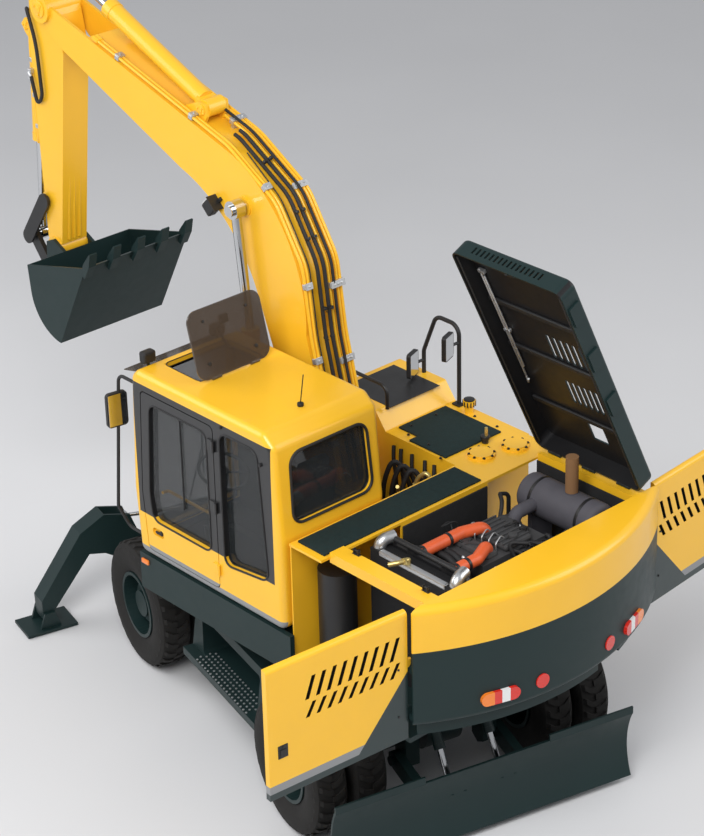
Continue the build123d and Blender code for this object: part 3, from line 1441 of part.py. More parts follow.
# Boom cylinders
boss = boom_line.from_local_coords(Vector(boom_boss_along, 0, boom_boss_up))
boss_x = boss.X - slew_x
boss_z = boss.Z
boom_span = hypot(boss_x - boom_cyl_x, boss_z - boom_cyl_z)
with BuildPart() as boom_tubes:
    for hand in (1, -1):
        line = pull_frame(machine, boom_cyl_x, boom_y + boom_cylinder_side * hand, boom_cyl_z, boss_x, boss_z)
        tube_body(line, boom_tube_end, boom_tube_radius, boom_rod_radius, 76, boom_lug_in - running_gap)
boom_tubes.part.label = "boom_cylinder_tubes"
export_step(boom_tubes.part, "parts/boom_cylinder_tubes.step")
with BuildPart() as boom_rods:
    for hand in (1, -1):
        line = pull_frame(machine, boom_cyl_x, boom_y + boom_cylinder_side * hand, boom_cyl_z, boss_x, boss_z)
        eye_step = boom_cylinder_side - boom_half - boom_boss_out - running_gap
        rod_body(line, boom_span, boom_tube_end - boom_rod_inside, boom_rod_radius, 72, 44, -eye_step, eye_step)
boom_rods.part.label = "boom_cylinder_rods"
export_step(boom_rods.part, "parts/boom_cylinder_rods.step")

# Arm
arm_pin = boom_line.from_local_coords(Vector(boom_length, 0, 0))
arm_line = tilted(machine, arm_pin.X - slew_x, boom_y, arm_pin.Z, arm_angle)
with BuildPart() as arm:
    side_plate(
        arm_line,
        [
            (-300, 190),
            (-80, 225),
            (420, 235),
            (arm_length - 60, 92),
            (arm_length - 60, -92),
            (330, -205),
            (40, -130),
            (-120, -60),
            (-330, 60),
        ],
        -arm_half, arm_half,
    )
    # room for the cylinder's eye between the lugs
    block(arm_line, -420, arm_throat, -arm_lug_in, arm_lug_in, 20, 300, mode=Mode.SUBTRACT)
    bar(arm_line, 0, 0, 110, -arm_half - 20, arm_half + 20)
    bar(arm_line, arm_length, 0, arm_tip_radius, -bucket_ear_in + running_gap, bucket_ear_in - running_gap)
    for hand in (1, -1):
        side_plate(
            arm_line,
            [
                (-360, 40),
                (-250, 200),
                (arm_tail_along + 60, arm_tail_up + 60),
                (arm_tail_along - 20, arm_tail_up + 70),
                (arm_tail_along - 75, arm_tail_up - 10),
            ],
            arm_lug_in * hand, (arm_lug_in + arm_lug_thick) * hand,
        )
        side_plate(
            arm_line,
            [
                (bucket_base_along - 90, 230),
                (bucket_base_along + 150, 230),
                (bucket_base_along + 60, bucket_base_up + 20),
                (bucket_base_along, bucket_base_up + 65),
                (bucket_base_along - 60, bucket_base_up + 20),
            ],
            bucket_lug_in * hand, (bucket_lug_in + bucket_lug_thick) * hand,
        )
    bar(arm_line, rocker_along, rocker_up, rocker_radius + 8, -arm_half, arm_half)
arm.part.label = "arm"
export_step(arm.part, "parts/arm.step")

# Arm cylinder on top of the boom
arm_foot = boom_line.from_local_coords(Vector(arm_base_along, 0, arm_base_up))
arm_eye = arm_line.from_local_coords(Vector(arm_tail_along, 0, arm_tail_up))
arm_span = hypot(arm_eye.X - arm_foot.X, arm_eye.Z - arm_foot.Z)
arm_pull = pull_frame(machine, arm_foot.X - slew_x, boom_y, arm_foot.Z, arm_eye.X - slew_x, arm_eye.Z)
with BuildPart() as arm_tube:
    tube_body(arm_pull, arm_tube_end, arm_tube_radius, arm_rod_radius, 70, arm_lug_in - running_gap)
arm_tube.part.label = "arm_cylinder_tube"
export_step(arm_tube.part, "parts/arm_cylinder_tube.step")
with BuildPart() as arm_rod:
    rod_body(arm_pull, arm_span, arm_tube_end - arm_rod_inside, arm_rod_radius, 70, arm_lug_in - running_gap, -1, 1)
arm_rod.part.label = "arm_cylinder_rod"
export_step(arm_rod.part, "parts/arm_cylinder_rod.step")

# Bucket cylinder on the front of the arm
rocker_eye = arm_line.from_local_coords(Vector(rocker_joint_along, 0, rocker_joint_up))
bucket_foot = arm_line.from_local_coords(Vector(bucket_base_along, 0, bucket_base_up))
bucket_span = hypot(rocker_eye.X - bucket_foot.X, rocker_eye.Z - bucket_foot.Z)
bucket_pull = pull_frame(
    machine, bucket_foot.X - slew_x, boom_y, bucket_foot.Z, rocker_eye.X - slew_x, rocker_eye.Z,
)
with BuildPart() as bucket_tube:
    tube_body(bucket_pull, bucket_tube_end, bucket_tube_radius, bucket_rod_radius, 62, bucket_lug_in - running_gap)
bucket_tube.part.label = "bucket_cylinder_tube"
export_step(bucket_tube.part, "parts/bucket_cylinder_tube.step")
with BuildPart() as bucket_rod:
    rod_body(
        bucket_pull, bucket_span, bucket_tube_end - bucket_rod_inside, bucket_rod_radius, 60, 52,
        -joint_in + running_gap, joint_in - running_gap,
    )
bucket_rod.part.label = "bucket_cylinder_rod"
export_step(bucket_rod.part, "parts/bucket_cylinder_rod.step")

# Rocker: a pair of bars from the arm to the joint with the bucket link
rocker_length = hypot(rocker_joint_along - rocker_along, rocker_joint_up - rocker_up)
rocker_slope = degrees(atan2(rocker_joint_up - rocker_up, rocker_joint_along - rocker_along))
rocker_line = tilted(arm_line, rocker_along, 0, rocker_up, rocker_slope)
rocker_in = arm_half + 22
with BuildPart() as rocker:
    for hand in (1, -1):
        with BuildSketch(side(rocker_line, (rocker_in + rocker_thick / 2) * hand)) as bar_side:
            with Locations((rocker_length / 2, 0)):
                SlotCenterToCenter(rocker_length, 2 * rocker_radius)
        extrude(bar_side.sketch, amount=rocker_thick / 2, both=True)
        bar(rocker_line, 0, 0, 40, (arm_half + running_gap) * hand, (rocker_in + 1) * hand)
    bar(rocker_line, rocker_length, 0, joint_radius, joint_in, rocker_in + 1)
    bar(rocker_line, rocker_length, 0, joint_radius, -joint_in, -rocker_in - 1)
rocker.part.label = "bucket_rocker"
export_step(rocker.part, "parts/bucket_rocker.step")

# Bucket link: from the rocker's joint to the bucket
bucket_line = tilted(machine, arm_line.from_local_coords(Vector(arm_length, 0, 0)).X - slew_x, boom_y,
                     arm_line.from_local_coords(Vector(arm_length, 0, 0)).Z, bucket_tip_angle)
pin_x = link_pin_reach * cos(radians(link_pin_angle))
pin_z = link_pin_reach * sin(radians(link_pin_angle))
# the bucket's drawing has its depth downwards, so the link pin lies on the other side
link_pin = bucket_line.from_local_coords(Vector(pin_x, 0, pin_z))
link_span = hypot(link_pin.X - rocker_eye.X, link_pin.Z - rocker_eye.Z)
link_line = pull_frame(
    machine, rocker_eye.X - slew_x, boom_y, rocker_eye.Z, link_pin.X - slew_x, link_pin.Z,
)
with BuildPart() as link:
    for hand in (1, -1):
        with BuildSketch(side(link_line, 98 * hand)) as link_side:
            with Locations((link_span / 2, 0)):
                SlotCenterToCenter(link_span, 110)
        extrude(link_side.sketch, amount=20, both=True)
        bar(link_line, 0, 0, joint_radius + pin_gap, 70 * hand, 120 * hand, mode=Mode.SUBTRACT)
    bar(link_line, link_span, 0, 50, -bucket_ear_in + running_gap, bucket_ear_in - running_gap)
    block(link_line, 130, link_span - 40, -80, 80, -20, 20)
link.part.label = "bucket_link"
export_step(link.part, "parts/bucket_link.step")

# Bucket
with BuildPart() as bucket:
    with BuildSketch(side(bucket_line, 0)) as shell_side:
        with BuildLine():
            rear = Line((bucket_back_along, bucket_back_deep), (bucket_back_along - 30, 260))
            round_back = ThreePointArc(rear @ 1, (190, 520), (bucket_corner_along, bucket_corner_deep))
            floor = Line(round_back @ 1, (bucket_lip, 0))
            Line(floor @ 1, rear @ 0)
        make_face()
    extrude(shell_side.sketch, amount=bucket_half, both=True)
    with BuildSketch(side(bucket_line, 0)) as space_side:
        with BuildLine():
            w = bucket_wall
            rear = Line((bucket_back_along + w, -60), (bucket_back_along - 30 + w, 262))
            round_back = ThreePointArc(rear @ 1, (190 + 14, 520 - 12), (bucket_corner_along - 2, bucket_corner_deep - w - 4))
            floor = Line(round_back @ 1, (bucket_lip - 18, -20))
            end = Line(floor @ 1, (bucket_lip - 18, -60))
            Line(end @ 1, rear @ 0)
        make_face()
    extrude(space_side.sketch, amount=bucket_half - bucket_side, both=True, mode=Mode.SUBTRACT)
    for hand in (1, -1):
        side_plate(
            bucket_line,
            [
                (-60, -62), (40, -80), (bucket_back_along + 10, bucket_back_deep),
                (bucket_back_along - 25, 300), (170, 470), (pin_x + 40, pin_z + 60), (pin_x - 40, pin_z + 62),
                (pin_x - 70, pin_z), (-88, 20),
            ],
            bucket_ear_in * hand, (bucket_ear_in + bucket_ear_thick) * hand,
        )
    tooth_pitch = (2 * bucket_half - tooth_width) / (tooth_count - 1)
    slope = degrees(atan2(-bucket_corner_deep, bucket_lip - bucket_corner_along))
    lip_line = tilted(bucket_line, bucket_lip, 0, 0, slope)
    for index in range(tooth_count):
        y = -bucket_half + tooth_width / 2 + index * tooth_pitch
        side_plate(
            lip_line,
            [(-90, 30), (40, 34), (tooth_length, 4), (tooth_length, -8), (20, -34), (-90, -26)],
            y - tooth_width / 2, y + tooth_width / 2,
        )
bucket.part.label = "bucket"
export_step(bucket.part, "parts/bucket.step")
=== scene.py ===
"""Studio picture of a wheeled excavator with its engine covers, cab hatch and side doors open."""

import json
import logging
import math
import random
from dataclasses import dataclass, field
from enum import Enum
from typing import Iterable, Sequence

import bmesh
import bpy
from mathutils import Euler, Matrix, Vector

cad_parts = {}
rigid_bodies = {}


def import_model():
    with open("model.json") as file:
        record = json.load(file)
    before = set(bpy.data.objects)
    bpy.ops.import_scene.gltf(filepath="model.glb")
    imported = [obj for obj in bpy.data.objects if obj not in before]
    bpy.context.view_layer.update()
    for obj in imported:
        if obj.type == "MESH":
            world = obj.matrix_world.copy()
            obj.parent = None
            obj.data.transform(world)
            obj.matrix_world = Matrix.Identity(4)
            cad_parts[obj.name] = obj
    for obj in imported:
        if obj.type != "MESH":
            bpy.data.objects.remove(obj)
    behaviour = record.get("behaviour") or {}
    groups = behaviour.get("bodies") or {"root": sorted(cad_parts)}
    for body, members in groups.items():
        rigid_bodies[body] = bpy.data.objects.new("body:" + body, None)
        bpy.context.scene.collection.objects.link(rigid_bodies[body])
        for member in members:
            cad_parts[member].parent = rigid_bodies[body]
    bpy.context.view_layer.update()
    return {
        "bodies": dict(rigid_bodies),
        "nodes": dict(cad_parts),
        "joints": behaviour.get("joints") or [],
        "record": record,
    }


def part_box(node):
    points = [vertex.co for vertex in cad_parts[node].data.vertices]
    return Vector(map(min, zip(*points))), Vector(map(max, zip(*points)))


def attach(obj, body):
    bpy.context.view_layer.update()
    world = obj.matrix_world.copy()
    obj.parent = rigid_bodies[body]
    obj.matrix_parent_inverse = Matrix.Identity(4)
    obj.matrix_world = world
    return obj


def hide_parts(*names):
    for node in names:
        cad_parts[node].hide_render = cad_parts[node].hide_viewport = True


LOG = logging.getLogger("excavator")
MM = 0.001
Point = tuple[float, float, float]
HANDS = (("left", 1.0), ("right", -1.0))
GLOSS = {"roughness": 0.34, "mottle": 0.04, "coat": 0.25, "bump": 0.03}
SATIN = {"roughness": 0.42, "mottle": 0.10, "specular": 0.28, "bump": 0.05}
LENS = {"roughness": 0.22, "mottle": 0.08, "mottle_scale": 60.0, "coat": 0.6, "bump": 0.1,
        "bump_scale": 400.0}


class Colour(Enum):
    """Paint and plastic colours of the machine, linear red, green and blue."""

    YELLOW = (0.900, 0.495, 0.020)
    GREEN = (0.010, 0.024, 0.024)
    BLACK = (0.012, 0.012, 0.013)
    GREY = (0.230, 0.235, 0.240)
    CAST = (0.060, 0.060, 0.062)
    TYRE = (0.014, 0.013, 0.012)
    ORANGE_HOSE = (0.690, 0.110, 0.030)
    SILVER = (0.560, 0.570, 0.580)
    RED = (0.650, 0.020, 0.010)
    AMBER = (0.850, 0.210, 0.020)
    WHITE = (0.750, 0.750, 0.740)
    FABRIC = (0.045, 0.045, 0.050)
    SMOKE = (0.070, 0.050, 0.035)
    GLASS = (0.030, 0.034, 0.036)
    RUST = (0.230, 0.120, 0.050)
    BRASS = (0.620, 0.480, 0.180)
    HEAT = (0.075, 0.072, 0.085)


@dataclass(frozen=True)
class Finish:
    """Procedural surface finish with colour variation, roughness variation and fine bump."""

    name: str
    colour: Colour
    roughness: float = 0.4
    metallic: float = 0.0
    mottle: float = 0.06
    mottle_scale: float = 3.0
    rough_spread: float = 0.08
    bump: float = 0.02
    bump_scale: float = 260.0
    coat: float = 0.0
    alpha: float = 1.0
    transmission: float = 0.0
    specular: float = 0.5

    def build(self) -> bpy.types.Material:
        """Make the material.

        Returns:
            The new material, ready for a slot.
        """
        material = bpy.data.materials.new(self.name)
        material.use_nodes = True
        nodes, links = material.node_tree.nodes, material.node_tree.links
        shader = nodes["Principled BSDF"]
        shader.inputs["Metallic"].default_value = self.metallic
        shader.inputs["Coat Weight"].default_value = self.coat
        shader.inputs["Coat Roughness"].default_value = 0.12
        shader.inputs["Alpha"].default_value = self.alpha
        shader.inputs["Specular IOR Level"].default_value = self.specular
        shader.inputs["Transmission Weight"].default_value = self.transmission
        place = nodes.new("ShaderNodeTexCoord")
        cloud = nodes.new("ShaderNodeTexNoise")
        cloud.inputs["Scale"].default_value = self.mottle_scale
        cloud.inputs["Detail"].default_value = 5.0
        links.new(place.outputs["Object"], cloud.inputs["Vector"])
        tone = nodes.new("ShaderNodeMix")
        tone.data_type = "RGBA"
        links.new(cloud.outputs["Fac"], tone.inputs["Factor"])
        low = [c * (1.0 - self.mottle) for c in self.colour.value]
        high = [min(c * (1.0 + self.mottle), 1.0) for c in self.colour.value]
        tone.inputs["A"].default_value = (*low, 1.0)
        tone.inputs["B"].default_value = (*high, 1.0)
        links.new(self.masked(nodes, links, place, tone.outputs["Result"]), shader.inputs["Base Color"])
        rough = nodes.new("ShaderNodeMapRange")
        rough.inputs["To Min"].default_value = max(self.roughness - self.rough_spread, 0.02)
        rough.inputs["To Max"].default_value = min(self.roughness + self.rough_spread, 1.0)
        smear = nodes.new("ShaderNodeTexNoise")
        smear.inputs["Scale"].default_value = self.mottle_scale * 4.0
        smear.inputs["Detail"].default_value = 3.0
        links.new(place.outputs["Object"], smear.inputs["Vector"])
        links.new(smear.outputs["Fac"], rough.inputs["Value"])
        links.new(rough.outputs["Result"], shader.inputs["Roughness"])
        grain = nodes.new("ShaderNodeTexNoise")
        grain.inputs["Scale"].default_value = self.bump_scale
        links.new(place.outputs["Object"], grain.inputs["Vector"])
        bump = nodes.new("ShaderNodeBump")
        bump.inputs["Strength"].default_value = self.bump
        bump.inputs["Distance"].default_value = 0.002
        links.new(grain.outputs["Fac"], bump.inputs["Height"])
        links.new(bump.outputs["Normal"], shader.inputs["Normal"])
        return material

    def masked(self, nodes: bpy.types.Nodes, links: bpy.types.NodeLinks, place: bpy.types.Node,
               colour: bpy.types.NodeSocket) -> bpy.types.NodeSocket:
        """Hand the colour on unchanged.

        Args:
            nodes: The material's nodes.
            links: The material's links.
            place: Texture coordinate node.
            colour: Colour so far.

        Returns:
            The colour socket that the shader takes.
        """
        return colour


@dataclass(frozen=True)
class Band:
    """Part of a surface that is painted another colour: all bounds are limits on a . p in metres."""

    colour: Colour
    limits: tuple[tuple[Point, float], ...]


def above(axis: int, value: float) -> tuple[Point, float]:
    """Limit that keeps what lies above a value on an axis."""
    return tuple(-1.0 if index == axis else 0.0 for index in range(3)), -value


def below(axis: int, value: float) -> tuple[Point, float]:
    """Limit that keeps what lies below a value on an axis."""
    return tuple(1.0 if index == axis else 0.0 for index in range(3)), value


@dataclass(frozen=True)
class BandedFinish(Finish):
    """Paint whose lower, upper or slanted areas have other colours."""

    bands: tuple[Band, ...] = ()

    def masked(self, nodes: bpy.types.Nodes, links: bpy.types.NodeLinks, place: bpy.types.Node,
               colour: bpy.types.NodeSocket) -> bpy.types.NodeSocket:
        """Lay each band over the colour.

        Args:
            nodes: The material's nodes.
            links: The material's links.
            place: Texture coordinate node.
            colour: Colour so far.

        Returns:
            The colour socket that the shader takes.
        """
        for band in self.bands:
            inside = None
            for normal, limit in band.limits:
                dot = nodes.new("ShaderNodeVectorMath")
                dot.operation = "DOT_PRODUCT"
                links.new(place.outputs["Object"], dot.inputs[0])
                dot.inputs[1].default_value = normal
                below = nodes.new("ShaderNodeMath")
                below.operation = "LESS_THAN"
                links.new(dot.outputs["Value"], below.inputs[0])
                below.inputs[1].default_value = limit
                if inside is None:
                    inside = below.outputs["Value"]
                else:
                    both = nodes.new("ShaderNodeMath")
                    both.operation = "MULTIPLY"
                    links.new(inside, both.inputs[0])
                    links.new(below.outputs["Value"], both.inputs[1])
                    inside = both.outputs["Value"]
            over = nodes.new("ShaderNodeMix")
            over.data_type = "RGBA"
            links.new(inside, over.inputs["Factor"])
            links.new(colour, over.inputs["A"])
            over.inputs["B"].default_value = (*band.colour.value, 1.0)
            colour = over.outputs["Result"]
        return colour


class Place:
    """Frames of the machine's main assemblies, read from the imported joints; tilts are in degrees at rest."""

    boom_tilt = 44.7
    arm_tilt = -86.5
    bucket_tilt = 166.4
    hatch_tilt = 75.0
    hood_tilt = 64.0
    door_turn = 85.0

    def __init__(self, record: dict) -> None:
        """Read the joints.

        Args:
            record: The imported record.
        """
        joints = {joint["name"]: joint for joint in record["behaviour"]["joints"]}
        slew = Vector(joints["slew"]["pos_m"])
        self.machine = Matrix.Translation((slew.x, slew.y, 0.0))
        axle = joints["roll_rear_left"]["axis"]
        self.carriage = self.machine @ Matrix.Rotation(math.atan2(-axle[0], axle[1]), 4, "Z")
        self.boom = self.tilted(joints["boom_lift"]["pos_m"], self.boom_tilt)
        self.arm = self.tilted(joints["arm_reach"]["pos_m"], self.arm_tilt)
        self.bucket = self.tilted(joints["bucket_curl"]["pos_m"], self.bucket_tilt)
        self.hatch = self.tilted(joints["roof_hatch_lift"]["pos_m"], self.hatch_tilt)
        self.hatch.translation.y = slew.y
        hinge = joints["hood_lift"]["pos_m"]
        lifted = Matrix.Rotation(math.radians(self.hood_tilt), 4, "X")
        self.hood = Matrix.Translation((slew.x, hinge[1], hinge[2])) @ lifted
        self.leaves = {}
        for name, hand in HANDS:
            hinge = joints[f"side_door_swing_{name}"]["pos_m"]
            swung = Matrix.Rotation(math.radians(self.door_turn) * hand, 4, "Z")
            self.leaves[name] = Matrix.Translation((hinge[0], hinge[1], 0.0)) @ swung

    @staticmethod
    def tilted(pivot: Sequence[float], angle: float) -> Matrix:
        """Frame at a pin whose X axis is turned up.

        Args:
            pivot: Place of the pin.
            angle: Turn in degrees.

        Returns:
            The frame's matrix.
        """
        return Matrix.Translation(pivot) @ Matrix.Rotation(-math.radians(angle), 4, "Y")


class Bench:
    """Modelling steps that the assemblies share."""

    @staticmethod
    def clear() -> None:
        """Leave edit mode and deselect everything."""
        if bpy.context.object is not None and bpy.context.object.mode != "OBJECT":
            bpy.ops.object.mode_set(mode="OBJECT")
        bpy.ops.object.select_all(action="DESELECT")

    @staticmethod
    def named(name: str) -> bpy.types.Object:
        """Name the active object.

        Args:
            name: New name.

        Returns:
            The object.
        """
        piece = bpy.context.object
        piece.name = name
        piece.data.name = name
        return piece

    @classmethod
    def block(cls, name: str, low: Sequence[float], high: Sequence[float],
              edge: float = 3.0) -> bpy.types.Object:
        """Block with rounded edges.

        Args:
            name: Piece name.
            low: Lowest corner in millimetres.
            high: Highest corner in millimetres.
            edge: Edge radius in millimetres.

        Returns:
            The block in metres.
        """
        cls.clear()
        middle = [(a + b) / 2 * MM for a, b in zip(low, high)]
        size = [abs(b - a) * MM for a, b in zip(low, high)]
        bpy.ops.mesh.primitive_cube_add(size=1.0, location=middle, scale=size)
        piece = cls.named(name)
        bpy.ops.object.transform_apply(location=True, rotation=True, scale=True)
        if edge > 0:
            bpy.ops.object.mode_set(mode="EDIT")
            bpy.ops.mesh.select_all(action="SELECT")
            bpy.ops.mesh.bevel(offset=min(edge * MM, min(size) * 0.4), segments=2, affect="EDGES")
            bpy.ops.object.mode_set(mode="OBJECT")
        return piece

    @classmethod
    def rod(cls, name: str, start: Sequence[float], end: Sequence[float], radius: float,
            sides: int = 20, edge: float = 1.5) -> bpy.types.Object:
        """Round bar with rounded ends.

        Args:
            name: Piece name.
            start: First end in millimetres.
            end: Second end in millimetres.
            radius: Radius in millimetres.
            sides: Number of sides.
            edge: Radius of the end's edge in millimetres.

        Returns:
            The bar in metres.
        """
        cls.clear()
        a, b = Vector(start) * MM, Vector(end) * MM
        bpy.ops.mesh.primitive_cylinder_add(vertices=sides, radius=radius * MM, depth=(b - a).length)
        piece = cls.named(name)
        bpy.ops.object.mode_set(mode="EDIT")
        bpy.ops.mesh.select_all(action="DESELECT")
        mesh = bmesh.from_edit_mesh(piece.data)
        for rim in mesh.edges:
            if abs(rim.verts[0].co.z - rim.verts[1].co.z) < 1e-6:
                rim.select = True
        bmesh.update_edit_mesh(piece.data)
        bpy.ops.mesh.bevel(offset=min(edge, radius * 0.4) * MM, segments=2, affect="EDGES")
        bpy.ops.object.mode_set(mode="OBJECT")
        turn = (b - a).to_track_quat("Z", "Y").to_matrix().to_4x4()
        piece.data.transform(Matrix.Translation((a + b) / 2) @ turn)
        bpy.ops.object.shade_smooth_by_angle(angle=math.radians(35))
        return piece

    @classmethod
    def pipe(cls, name: str, points: Iterable[Sequence[float]], radius: float, bend: float = 60.0,
             sides: int = 3) -> bpy.types.Object:
        """Pipe of straight runs with round bends.

        Args:
            name: Piece name.
            points: Corners in millimetres.
            radius: Radius in millimetres.
            bend: Length cut from each corner for its bend, in millimetres.
            sides: Bevel resolution of the section.

        Returns:
            The pipe as a mesh in metres.
        """
        cls.clear()
        corners = [Vector(p) for p in points]
        curve = bpy.data.curves.new(name, "CURVE")
        curve.dimensions = "3D"
        curve.bevel_depth = radius * MM
        curve.bevel_resolution = sides
        curve.use_fill_caps = True
        curve.resolution_u = 6
        spline = curve.splines.new("BEZIER")
        knots: list[tuple[Vector, Vector, Vector]] = []
        for index, corner in enumerate(corners):
            if index in (0, len(corners) - 1):
                other = corners[1] if index == 0 else corners[-2]
                inward, outward = corner + (other - corner) * 0.1, corner + (corner - other) * 0.1
                knots.append((corner, inward, outward) if index else (corner, outward, inward))
                continue
            before = corners[index - 1] - corner
            after = corners[index + 1] - corner
            cut = min(bend, before.length * 0.45, after.length * 0.45)
            into = corner + before.normalized() * cut
            out = corner + after.normalized() * cut
            knots.append((into, into + (into - corner) * 0.3, into + (corner - into) * 0.56))
            knots.append((out, out + (corner - out) * 0.56, out + (out - corner) * 0.3))
        spline.bezier_points.add(len(knots) - 1)
        for knot, (middle, left, right) in zip(spline.bezier_points, knots):
            knot.co = middle * MM
            knot.handle_left = left * MM
            knot.handle_right = right * MM
        piece = bpy.data.objects.new(name, curve)
        bpy.context.collection.objects.link(piece)
        piece.select_set(True)
        bpy.context.view_layer.objects.active = piece
        bpy.ops.object.convert(target="MESH")
        piece = cls.named(name)
        bpy.ops.object.shade_smooth_by_angle(angle=math.radians(50))
        return piece

    @classmethod
    def bolt(cls, name: str, radius: float, height: float) -> bpy.types.Object:
        """Hexagon bolt head on its washer, standing on the XY plane.

        Args:
            name: Piece name.
            radius: Radius of the head in millimetres.
            height: Height of the head in millimetres.

        Returns:
            The bolt in metres.
        """
        cls.clear()
        bpy.ops.mesh.primitive_cylinder_add(vertices=6, radius=radius * MM, depth=height * MM,
                                            location=(0.0, 0.0, height * MM * 0.65))
        head = cls.named(name)
        bpy.ops.object.transform_apply(location=True, rotation=True, scale=True)
        bpy.ops.object.mode_set(mode="EDIT")
        bpy.ops.mesh.select_all(action="DESELECT")
        mesh = bmesh.from_edit_mesh(head.data)
        for face in mesh.faces:
            face.select = face.normal.z > 0.9
        bmesh.update_edit_mesh(head.data)
        bpy.ops.mesh.inset(thickness=radius * 0.25 * MM)
        bpy.ops.transform.translate(value=(0.0, 0.0, height * 0.12 * MM))
        bpy.ops.mesh.select_all(action="DESELECT")
        bpy.ops.mesh.primitive_cylinder_add(vertices=10, radius=radius * 1.5 * MM, depth=height * 0.3 * MM,
                                            location=(0.0, 0.0, height * 0.15 * MM))
        bpy.ops.object.mode_set(mode="OBJECT")
        return head

    @classmethod
    def scatter(cls, piece: bpy.types.Object, places: Iterable[Matrix]) -> bpy.types.Object:
        """Copy a piece to each place, each copy with its own mesh, and join the copies.

        Args:
            piece: Piece modelled at the origin.
            places: Matrices in metres.

        Returns:
            The joined piece.
        """
        cls.clear()
        copies = []
        for place in places:
            copy = piece.copy()
            copy.data = piece.data.copy()
            copy.data.transform(place)
            bpy.context.collection.objects.link(copy)
            copies.append(copy)
        name = piece.name
        bpy.data.objects.remove(piece)
        return cls.joined(name, copies)

    @classmethod
    def joined(cls, name: str, pieces: Sequence[bpy.types.Object]) -> bpy.types.Object:
        """Join pieces into one.

        Args:
            name: Name of the joined piece.
            pieces: Pieces to join.

        Returns:
            The joined piece.
        """
        cls.clear()
        for piece in pieces:
            piece.select_set(True)
        bpy.context.view_layer.objects.active = pieces[0]
        if len(pieces) > 1:
            bpy.ops.object.join()
        return cls.named(name)

    @staticmethod
    def settle(piece: bpy.types.Object, frame: Matrix, body: str, finish: bpy.types.Material,
               slot: str) -> None:
        """Put a piece in its frame, paint it and make it ride.

        Args:
            piece: Piece whose mesh is in the frame's own metres.
            frame: Frame matrix.
            body: CAD body that the piece rides on.
            finish: Material.
            slot: Material slot of the record; not used.
        """
        piece.data.transform(frame)
        piece.data.materials.clear()
        piece.data.materials.append(finish)
        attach(piece, body)
        LOG.info("%s rides on %s", piece.name, body)

    @staticmethod
    def lean(piece: bpy.types.Object, spot: Sequence[float], degrees: float, axis: str) -> None:
        """Turn a piece about an axis through its origin, then move it.

        Args:
            piece: The piece, changed in place.
            spot: Where its origin goes, in metres.
            degrees: Angle of the turn.
            axis: Letter of the axis.
        """
        turn = Matrix.Rotation(math.radians(degrees), 4, axis)
        piece.data.transform(Matrix.Translation(Vector(spot)) @ turn)

    @classmethod
    def fit(cls, name: str, pieces: Sequence[bpy.types.Object], frame: Matrix, body: str,
            finish: bpy.types.Material, slot: str) -> bpy.types.Object:
        """Join pieces, put them in their frame, paint them and make them ride.

        Args:
            name: Name of the joined piece.
            pieces: Pieces to join, whose meshes are in the frame's own metres.
            frame: Frame matrix.
            body: CAD body that the piece rides on.
            finish: Material.
            slot: Material slot of the record.

        Returns:
            The joined piece.
        """
        piece = cls.joined(name, pieces)
        cls.settle(piece, frame, body, finish, slot)
        return piece


